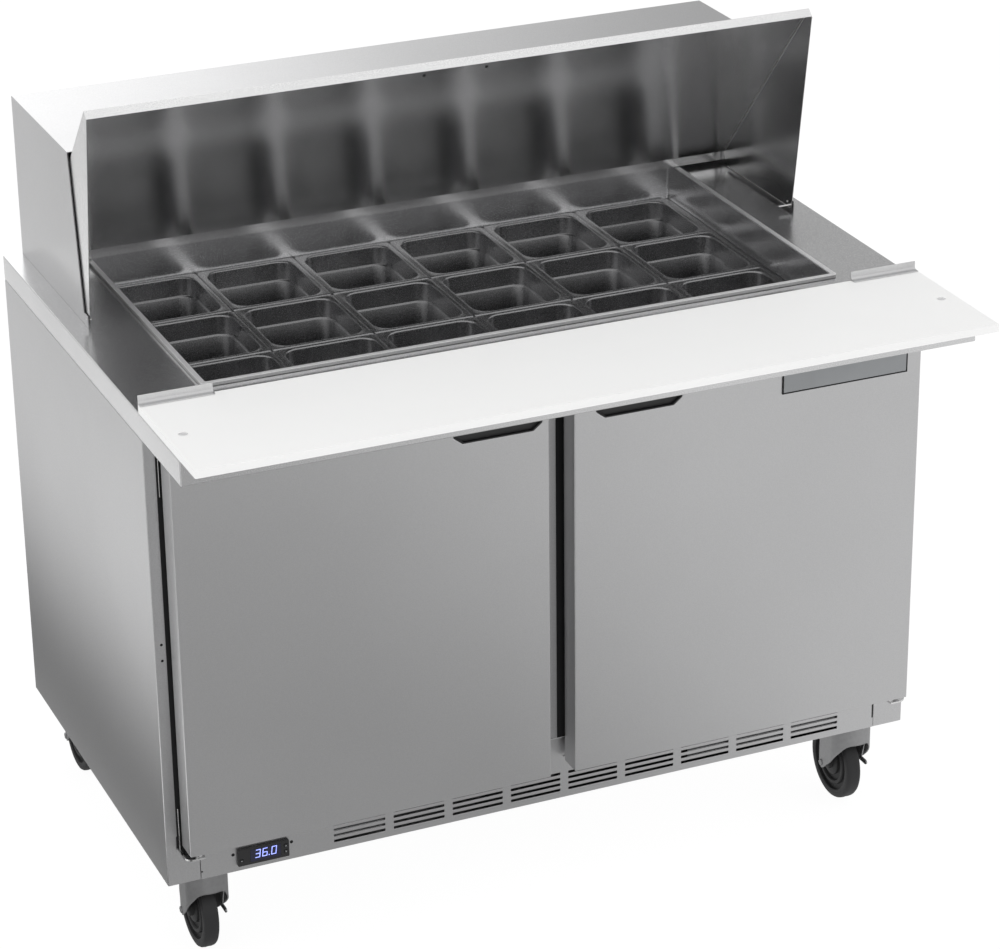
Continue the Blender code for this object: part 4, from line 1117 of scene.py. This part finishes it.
def build_pin(side_name, side):
    """Slim rod with chamfered ends, through the hood's ear and the lid's flange."""
    node = f"lid_pin_{side_name}"
    inner, chamfer = LID_PIN_INNER[side_name], LID_PIN_CHAMFER
    length = Box("hood").half[0] + CLEAR - abs(inner)
    slim = LID_PIN_RADIUS - chamfer
    section = [(slim, 0), (LID_PIN_RADIUS, chamfer), (LID_PIN_RADIUS, length - chamfer), (slim, length)]
    pin = solid_loft(turned(section, (inner, *Box(node).middle[1:]), (side, 0, 0), 32))
    add_piece(f"hinge_pin_{side_name}", pin, "bright_steel", [node])


# ---------------- doors


def pull_outline(box, by):
    """Outline of a recessed pull: square above, with both lower corners cut at a slant."""
    slant_x, slant_z = PULL_SLANT
    (x0, x1), (z0, z1) = grow(box.x, by), grow(box.z, by)
    shoulder = z0 + slant_z
    return [(x0 + slant_x, z0), (x1 - slant_x, z0), (x1, shoulder), (x1, z1), (x0, z1), (x0, shoulder)]


def door_pin(side_name):
    """The middle of the door's lower pin, in x and y."""
    door = Box(f"door_{side_name}")
    outer_edge = max(abs(door.x0), abs(door.x1))
    return SIDES[side_name] * (outer_edge - PIN_INSET), door.middle[1]


def build_door(side_name):
    """Outer skin, with a recess for the pull and a hole for the pin."""
    node = f"door_{side_name}"
    door, pull = Box(node), Box(f"door_pull_{side_name}")
    recess = prism(pull_outline(pull, CLEAR), "y", door.y0 - PAST, pull.y1 + CLEAR)
    pin_top = Box(f"hinge_bracket_{side_name}").z1 + 0.002
    pin_hole = disc(door_pin(side_name), "z", PIN_RADIUS + 0.0004, door.z0 - PAST, pin_top, 32)
    add_piece(
        f"door_skin_{side_name}", block(door.x, door.y, door.z), "door_steel", [node],
        0.0016, 3, cut=[recess, pin_hole], body=f"{side_name}_door",
    )


def build_liner(side_name):
    """Moulded inner panel: a raised border round a slightly sunk field."""
    gasket = Box(f"door_gasket_{side_name}")
    half = (gasket.half[0] - LINER_LIP, gasket.half[2] - LINER_LIP)
    back = Box(f"door_{side_name}").y1 + CLEAR
    profile = ((0, 0), (0, 0.004), (0.003, 0.007), (0.03, 0.007), (0.036, 0.003), (0.042, 0.003))
    section = [(inward, back + rise, LINER_CORNER) for inward, rise in profile]
    rings = rounded_rings(gasket.middle[::2], half, "y", section)
    add_piece(
        f"door_liner_{side_name}", solid_loft(rings), "white_liner", bevel=0.0012,
        segments=3, body=f"{side_name}_door",
    )


def build_pull(side_name):
    """Moulded pull with a rounded lip and a shallow finger hollow."""
    node = f"door_pull_{side_name}"
    pull = Box(node)
    cup = prism(pull_outline(pull, 0), "y", *pull.y)
    hollow = prism(pull_outline(pull, -PULL_WALL), "y", pull.y0 - PAST, pull.y0 + PULL_HOLLOW)
    add_piece(
        f"pull_cup_{side_name}", cup, "black_plastic", [node], 0.0008, 3, cut=[hollow],
        body=f"{side_name}_door",
    )


def build_gasket(side_name):
    """Magnetic gasket: a bellows section run round the door as one frame."""
    node = f"door_gasket_{side_name}"
    box = Box(node)
    deep = box.y1 - box.y0
    section = [(inward, box.y0 + share * deep, GASKET_CORNER - inward) for inward, share in BELLOWS]
    rings = rounded_rings(box.middle[::2], box.half[::2], "y", section)
    add_piece(
        f"gasket_bellows_{side_name}", loft(rings, closed=True), "gasket_rubber", [node],
        0.0004, body=f"{side_name}_door",
    )


def build_badge():
    """Blank plate with a raised border."""
    box = Box("badge_plate")
    field = (grow(box.x, -BADGE_BORDER), grow(box.z, -BADGE_BORDER))
    hollow = block(field[0], (box.y0 - PAST, box.y0 + BADGE_DEPTH), field[1])
    plate = block(box.x, box.y, box.z)
    add_piece(
        "badge_blank", plate, "gasket_rubber", ["badge_plate"], 0.0003, cut=[hollow],
        body="right_door",
    )
    face = block(field[0], (box.y0 + BADGE_DEPTH / 2, box.y0 + BADGE_DEPTH - 0.00005), field[1])
    add_piece("badge_face", face, "badge_grey", bevel=0.0001, body="right_door")


def build_bracket(side_name, side):
    """Hinge bracket: a leg behind the door's edge, an arm held below the door, and its pin."""
    node = f"hinge_bracket_{side_name}"
    box, door = Box(node), Box(f"door_{side_name}")
    inner, outer = sorted(box.x, key=abs)
    leg_x = sorted((outer, outer - side * BRACKET_LEG))
    arm_top = door.z0 - ARM_DROP
    arm_low = arm_top - ARM_THICKNESS
    leg = block(leg_x, (box.y1 - BRACKET_SHEET, box.y1), (box.z0, arm_low - 0.001))
    add_piece(f"bracket_leg_{side_name}", leg, "door_steel", [node], 0.0005)
    # A black strip behind the leg, up past the arm to the door: painted shadow.
    hollow = block(leg_x, (box.y1 - 0.0008, box.y1), (arm_low - 0.0007, door.z0 + 0.01))
    add_piece(f"bracket_painted_shadow_{side_name}", hollow, "gasket_rubber")

    back = box.y1 - BRACKET_SHEET - CLEAR
    turn = (outer - side * BRACKET_CORNER, box.y0 + BRACKET_CORNER)
    outline = [
        (inner, back),
        (inner + side * BRACKET_SLANT, box.y0),
        *arc(turn, BRACKET_CORNER, 270, 270 + side * 90, 8),
        (outer, back),
    ]
    arm = prism(outline, "z", arm_low, arm_top)
    middle = door_pin(side_name)
    pin = disc(middle, "z", PIN_RADIUS, arm_low + 0.0005, box.z1)
    collar = disc(middle, "z", PIN_COLLAR, arm_top - 0.0005, door.z0 - 0.0012)
    add_piece(f"bracket_arm_{side_name}", arm, "bright_steel", bevel=0.0004, join=[pin, collar])


# ---------------- front grille


def build_grille():
    """Panel with rows of slots in groups, and a window for the controller."""
    box, case = Box("front_grille"), Box("controller_case")
    through = grow(box.y, PAST)
    slots = bmesh.new()
    for group in range(SLOT_GROUPS):
        left = SLOT_FIRST_X + SLOT_PITCH_X * group
        for row in range(SLOT_ROWS):
            z = world_z(SLOT_FIRST_Z + SLOT_PITCH_Z * row)
            block((left, left + SLOT_LENGTH), through, grow((z, z), SLOT_HEIGHT / 2), slots)
    window = block(grow(case.x, -WINDOW_CUT), through, grow(case.z, -WINDOW_CUT))
    add_piece(
        "grille_panel", block(box.x, box.y, box.z), "door_steel", ["front_grille"],
        0.0003, cut=[slots, window],
    )


def build_grille_gaps():
    """Painted shade of a seam at the panel's right end and of a hole at its left, as black pieces, and
    plates behind the outer slots.
    """
    box = Box("front_grille")
    face = (box.y0 - 0.0002, box.y0 + 0.0004)
    gaps = bmesh.new()
    block((box.x1 - 0.0024, box.x1 - 0.0002), face, heights(*SEAM_HEIGHTS), gaps)
    radius, height = GRILLE_HOLE
    disc((box.x0 + radius, world_z(height)), "y", radius, *face, 16, gaps)
    add_piece("grille_seam_gaps", gaps, "gasket_rubber")
    baffles = bmesh.new()
    for reach in BAFFLE_REACHES:
        block(reach, (box.y1 + 0.002, box.y1 + 0.003), heights(*BAFFLE_HEIGHTS), baffles)
    add_piece("grille_baffles", baffles, "door_steel", bevel=0.0002)


def window_spans():
    """The display window's spans in x and z."""
    case = Box("controller_case")
    return (case.x0 + 0.019, case.x1 - 0.013), grow(case.z, -0.0035)


def build_bezel():
    """Controller case with round corners, a sunk window and pockets for the keys."""
    case = Box("controller_case")
    face, seat = case.y0, Box("front_grille").y0 - CLEAR
    window_x, window_z = window_spans()
    bezel = prism(rounded(case.middle[::2], case.half[::2], 0.0014, 4), "y", face, seat)
    pockets = bmesh.new()
    for node in BUTTONS:
        key = Box(node)
        block(grow(key.x, CLEAR), (face - PAST, face + 0.003), grow(key.z, CLEAR), pockets)
    block(window_x, (face - PAST, face + 0.0006), window_z, pockets)
    rear = block(grow(case.x, -0.0045), (seat - 0.001, case.y1), grow(case.z, -0.0045))
    add_piece(
        "controller_bezel", bezel, "black_plastic", ["controller_case"], 0.0003,
        cut=[pockets], join=[rear],
    )
    pane = block(grow(window_x, -0.0002), (face + 0.0001, face + 0.0005), grow(window_z, -0.0002))
    add_piece("display_pane", pane, "display_glass", bevel=0.0001)


def digit_bars(x, z):
    """The seven bars of a digit whose lower left corner is at x and z, as outlines."""
    wide, tall = DIGIT_SIZE
    thick = wide * 0.15
    gap, end = thick * 0.12, thick * 0.6
    right, middle, top = x + wide - thick, z + tall / 2, z + tall

    def level(low):
        return rectangle((x + end, x + wide - end), (low, low + thick))

    def upright(left, low, high):
        return rectangle((left, left + thick), (low + gap, high - gap))

    return {
        "a": level(top - thick),
        "g": level(middle - thick / 2),
        "d": level(z),
        "f": upright(x, middle, top),
        "b": upright(right, middle, top),
        "e": upright(x, z, middle),
        "c": upright(right, z, middle),
    }


def build_digits():
    """Slanted lit digits of the display, with their point."""
    case = Box("controller_case")
    low = case.middle[2] - DIGIT_SIZE[1] / 2 + 0.002
    start = window_spans()[0][0] + 0.007
    outlines = []
    for place, digit in DIGIT_PLACES:
        bars = digit_bars(start + place, low)
        outlines += [bars[bar] for bar in SEGMENTS[digit]]
    point = start + POINT_PLACE
    outlines.append(rectangle((point, point + POINT_SIZE), (low, low + POINT_SIZE)))
    lit = bmesh.new()
    for outline in outlines:
        slanted = [(x + DIGIT_SLANT * (z - low), z) for x, z in outline]
        prism(slanted, "y", case.y0 - 0.0001, case.y0 + 0.0002, lit)
    add_piece("display_digits", lit, "lit_segments")


def build_screw_holes():
    """The two holes of the screws that hold the controller, as black discs: painted shade inside the holes.
    """
    case, face = Box("controller_case"), Box("front_grille").y0
    holes = bmesh.new()
    for x in (case.x0 - 0.0058, case.x1 + 0.0055):
        disc((x, world_z(0.029)), "y", 0.0026, face - 0.0001, face + 0.0005, 20, holes)
    add_piece("controller_screw_holes", holes, "gasket_rubber")


def key_mark(node, x, z):
    """A key's sign: a bar on the set key, an arrow head on the others."""
    if node == "button_set":
        return rectangle(grow((x, x), MARK_HALF), grow((z, z), MARK_HALF / 3))
    rise = MARK_HALF if node == "button_up" else -MARK_HALF
    return [(x - MARK_HALF, z - rise), (x + MARK_HALF, z - rise), (x, z + rise)]


def build_keys():
    for node, body in BUTTONS.items():
        key, name = Box(node), node.removeprefix("button_")
        cap = block(key.x, key.y, key.z)
        add_piece(f"key_{name}", cap, "black_plastic", [node], 0.0004, body=body)
        mark = prism(key_mark(node, key.middle[0], key.middle[2]), "y", key.y0 - 0.00005, key.y0 + 0.0001)
        add_piece(f"key_mark_{name}", mark, "badge_grey", body=body)


# ---------------- casters


def edge_height(back):
    """Height of the skirt's lower edge above the axle, a given distance back from its front."""
    for (near, low), (far, high) in zip(FORK_EDGE, FORK_EDGE[1:]):
        if back <= far:
            return low + (high - low) * (back - near) / (far - near)
    return FORK_EDGE[-1][1]


def fork_path():
    """The skirt seen from above, round the kingpin: one leg, the round front, the other leg."""
    length = CASTER_TRAIL + FORK_TAIL
    leg = []
    for i in range(FORK_LEG_STEPS):
        share = i / FORK_LEG_STEPS
        leg.append((-(FORK_HALF_WIDTH + (FORK_RADIUS - FORK_HALF_WIDTH) * share), length - length * share))
    return leg + arc((0, 0), FORK_RADIUS, 180, 360, 24) + [(-x, y) for x, y in reversed(leg)]


def build_fork(corner, kingpin, axle_z):
    """Pressed fork: a cylindrical skirt with an arched lower edge, running back into two legs."""
    top = world_z(FORK_TOP)
    rings = []
    for level in range(FORK_LEVELS + 1):
        ring = []
        for x, y in fork_path():
            low = axle_z + edge_height(FORK_RADIUS + y)
            ring.append((kingpin[0] + x, kingpin[1] + y, top + (low - top) * level / FORK_LEVELS))
        rings.append(ring)
    add_piece(
        f"fork_skirt_{corner}", loft(rings, cap_first=True, wrap=False), "plated_steel",
        [f"caster_fork_{corner}"], 0.0008, 2, FORK_SHEET, 40, body=f"{corner}_caster",
    )


def build_wheel(corner, wheel):
    """Rubber wheel turned from one section: crowned tread, two concentric grooves and a long hub."""
    right = [(share * wheel.half[2], along) for share, along in WHEEL_SECTION]
    section = right + [(reach, -along) for reach, along in reversed(right[1:])]
    tyre = loft(turned(section, wheel.middle, (1, 0, 0), 64), closed=True)
    add_piece(
        f"wheel_{corner}", tyre, "wheel_rubber", [f"caster_wheel_{corner}"], angle=40,
        body=f"{corner}_wheel",
    )


def build_axle_nuts(corner, wheel):
    radius, near, far = AXLE_NUT
    x = wheel.middle[0]
    nuts = bmesh.new()
    for side in SIDES.values():
        disc(wheel.middle[1:], "x", radius, x + side * near, x + side * far, 6, nuts)
    add_piece(
        f"axle_nuts_{corner}", nuts, "plated_steel", bevel=0.0005, body=f"{corner}_caster",
    )


def build_raceway(corner, kingpin):
    """Fixed ring under the cabinet, above the fork."""
    ring = loft(turned(RACEWAY_SECTION, (*kingpin, CASE.z0), (0, 0, 1), 48), closed=True)
    add_piece(f"raceway_{corner}", ring, "plated_steel", bevel=0.0003)


def build_caster(corner):
    wheel = Box(f"caster_wheel_{corner}")
    kingpin = (wheel.middle[0], wheel.middle[1] - CASTER_TRAIL)
    build_fork(corner, kingpin, wheel.middle[2])
    build_wheel(corner, wheel)
    build_axle_nuts(corner, wheel)
    build_raceway(corner, kingpin)


def build_brake(corner):
    """Brake lever on its rivet: a strip slanting back to a knee, then forward to a rounded toe tab."""
    node = f"caster_brake_{corner}"
    box = Box(node)
    middle_y, half, foot = box.middle[1], box.half[1], world_z(BRAKE_FOOT)
    outline = [
        *arc((middle_y, box.z1 - half), half, 0, 180, 12),
        (middle_y + BRAKE_KNEE - half, foot + BRAKE_TOE),
        *arc((middle_y - half - BRAKE_REACH + BRAKE_TOE, foot), BRAKE_TOE, 90, 270, 10),
        (middle_y + BRAKE_KNEE + half, foot - BRAKE_TOE),
    ]
    height, radius = BRAKE_RIVET
    rivet_hole = disc((middle_y, world_z(height)), "x", radius, *grow(box.x, PAST))
    add_piece(
        f"brake_lever_{corner}", prism(outline, "x", *box.x), "plated_steel", [node], 0.0005,
        cut=[rivet_hole], body=f"{corner}_brake",
    )


# ---------------- inside


def build_shelf(side_name):
    """Wire shelf: a border rod, bearers across, and slimmer wires from front to back."""
    node = f"shelf_{side_name}"
    box = Box(node)
    x, y, z = grow(box.x, -SHELF_BORDER), grow(box.y, -SHELF_BORDER), box.z1 - SHELF_BORDER
    shelf = bmesh.new()
    corners = lift(rectangle(x, y), "z", z)
    for start, end in zip(corners, corners[1:] + corners[:1]):
        wire(shelf, start, end, SHELF_BORDER, 14)
    for i in range(1, SHELF_BEARERS + 1):
        at = box.y0 + (box.y1 - box.y0) * i / (SHELF_BEARERS + 1)
        wire(shelf, (x[0], at, z - 0.001), (x[1], at, z - 0.001), SHELF_BEARER, 12)
    for i in range(1, SHELF_WIRES + 1):
        at = box.x0 + (box.x1 - box.x0) * i / (SHELF_WIRES + 1)
        wire(shelf, (at, y[0], z + SHELF_WIRE), (at, y[1], z + SHELF_WIRE), SHELF_WIRE, 8)
    add_piece(f"wire_{node}", shelf, "coated_wire", [node], angle=50)


def build_compressor():
    """Welded dome with a seam flange."""
    box = Box("compressor")
    tall = box.z1 - box.z0
    section = [(share * box.half[0], level * tall) for share, level in DOME_SECTION]
    dome = solid_loft(turned(section, (*box.middle[:2], box.z0), (0, 0, 1), 64))
    add_piece("compressor_shell", dome, "black_enamel", ["compressor"], angle=35)


def build_fan(node, body):
    """Moulded rotor: pitched blades on a round hub."""
    box = Box(node)
    x, y, z = box.middle
    radius = box.half[0]
    hub = HUB_SHARE * radius
    lean, lift_by = box.half[1] - BLADE_THICKNESS, BLADE_THICKNESS / 2
    root, tip = hub * 0.9, radius * 0.98
    corners = ((root, -lift_by), (tip, -lift_by), (tip, lift_by), (root, lift_by))
    rotor = disc((x, z), "y", hub, box.y0, box.y1, 40)
    for blade in range(BLADES):
        rings = []
        for i in range(BLADE_STEPS + 1):
            turn = 2 * pi * blade / BLADES + BLADE_SWEEP * i / BLADE_STEPS
            pitch = y + lean * (1 - 2 * i / BLADE_STEPS)
            across, up = cos(turn), sin(turn)
            rings.append([(x + reach * across, pitch + rise, z + reach * up) for reach, rise in corners])
        solid_loft(rings, rotor)
    add_piece(f"{node}_rotor", rotor, "black_plastic", [node], 0.0004, body=body)


# ---------------- studio


def area_light(name, place, target, size, power):
    """A soft light for everything matt; the steel mirrors the floor and the card instead."""
    data = bpy.data.lights.new(name, "AREA")
    data.shape = "RECTANGLE"
    data.size, data.size_y = size
    data.energy = power
    light = bpy.data.objects.new(name, data)
    light.location = place
    light.rotation_euler = (Vector(target) - Vector(place)).to_track_quat("-Z", "Y").to_euler()
    light.visible_glossy = False
    bpy.context.scene.collection.objects.link(light)


def build_sheet(name, size, material):
    """A flat sheet that belongs to the studio."""
    bm = bmesh.new()
    bmesh.ops.create_grid(bm, x_segments=1, y_segments=1, size=0.5)
    bm.transform(Matrix.Diagonal((*size, 1.0, 1.0)))
    sheet = put_in_scene(name, bm, recalculate=False)
    sheet.data.materials.append(material)
    return sheet


def build_back_card():
    """A glowing card behind the object that only mirrors can see."""
    card = build_sheet("back_card", CARD_SIZE, card_material())
    card.location = CARD_AT
    card.rotation_euler = (pi / 2, 0, 0)
    card.visible_camera = False
    card.visible_diffuse = False
    card.visible_shadow = False
    card.visible_transmission = False


def build_world():
    """White round the object: full for the camera, dimmer for matt things and for mirrors."""
    world = bpy.data.worlds.new("studio")
    world.use_nodes = True
    tree = world.node_tree
    kind = ray_kind(tree)
    white = (1.0, 1.0, 1.0, 1.0)
    matt_level = maths(tree, "MULTIPLY_ADD", kind["Is Camera Ray"], 1.0 - WORLD_LEVEL)
    matt_level.node.inputs[2].default_value = WORLD_LEVEL
    plain = tree.nodes["Background"]
    set_inputs(tree, plain, {"Color": white, "Strength": matt_level})
    mirrored = add_node(tree, "ShaderNodeBackground", {"Color": white, "Strength": MIRROR_LEVEL})
    both = mix_shaders(tree, kind["Is Glossy Ray"], plain.outputs[0], mirrored.outputs[0])
    set_inputs(tree, tree.nodes["World Output"], {"Surface": both})
    bpy.context.scene.world = world


def build_camera():
    camera = bpy.data.objects.new("camera", bpy.data.cameras.new("camera"))
    camera.data.lens = CAMERA_LENS
    camera.data.sensor_width = SENSOR_WIDTH
    turn = Matrix.Rotation(CAMERA_YAW, 4, "Z") @ Matrix.Rotation(CAMERA_PITCH + pi / 2, 4, "X")
    camera.matrix_world = Matrix.Translation(CAMERA_AT) @ turn @ Matrix.Rotation(CAMERA_ROLL, 4, "Z")
    bpy.context.scene.collection.objects.link(camera)
    bpy.context.scene.camera = camera


def build_studio():
    build_sheet("floor", (FLOOR_SIZE, FLOOR_SIZE), floor_material())
    for light in AREA_LIGHTS:
        area_light(*light)
    build_back_card()
    build_world()
    build_camera()
    bpy.context.scene.view_settings.view_transform = "Standard"


# ---------------- assembly


def build_cabinet():
    build_case()
    build_gap_shade_strips()
    build_hinge_bars()
    build_mullion_plate()
    build_worktop()
    build_pan_well()
    build_ledge()
    for row in PAN_ROWS:
        for column in range(1, 7):
            build_pan(row, column)
    build_board()
    build_hood()
    build_rear_rail()


def build_lid_set():
    build_lid()
    build_pull_screws()
    build_lid_trims()
    build_lid_handle()


def build_sides():
    for side_name, side in SIDES.items():
        build_clip(side_name)
        build_pin(side_name, side)
        build_door(side_name)
        build_liner(side_name)
        build_pull(side_name)
        build_gasket(side_name)
        build_bracket(side_name, side)
    build_badge()


def build_front():
    build_grille()
    build_grille_gaps()
    build_bezel()
    build_digits()
    build_screw_holes()
    build_keys()


def build_casters():
    for place in ("front", "rear"):
        for side_name in SIDES:
            build_caster(f"{place}_{side_name}")
    for side_name in SIDES:
        build_brake(f"front_{side_name}")


def build_inside():
    for side_name in SIDES:
        build_shelf(side_name)
    build_compressor()
    for place in ("condenser", "evaporator"):
        build_fan(f"{place}_fan", f"{place}_rotor")
        soften_node(f"{place}_coil", "coil_fins", 0.0004)


build_cabinet()
build_lid_set()
build_sides()
build_front()
build_casters()
build_inside()
build_studio()
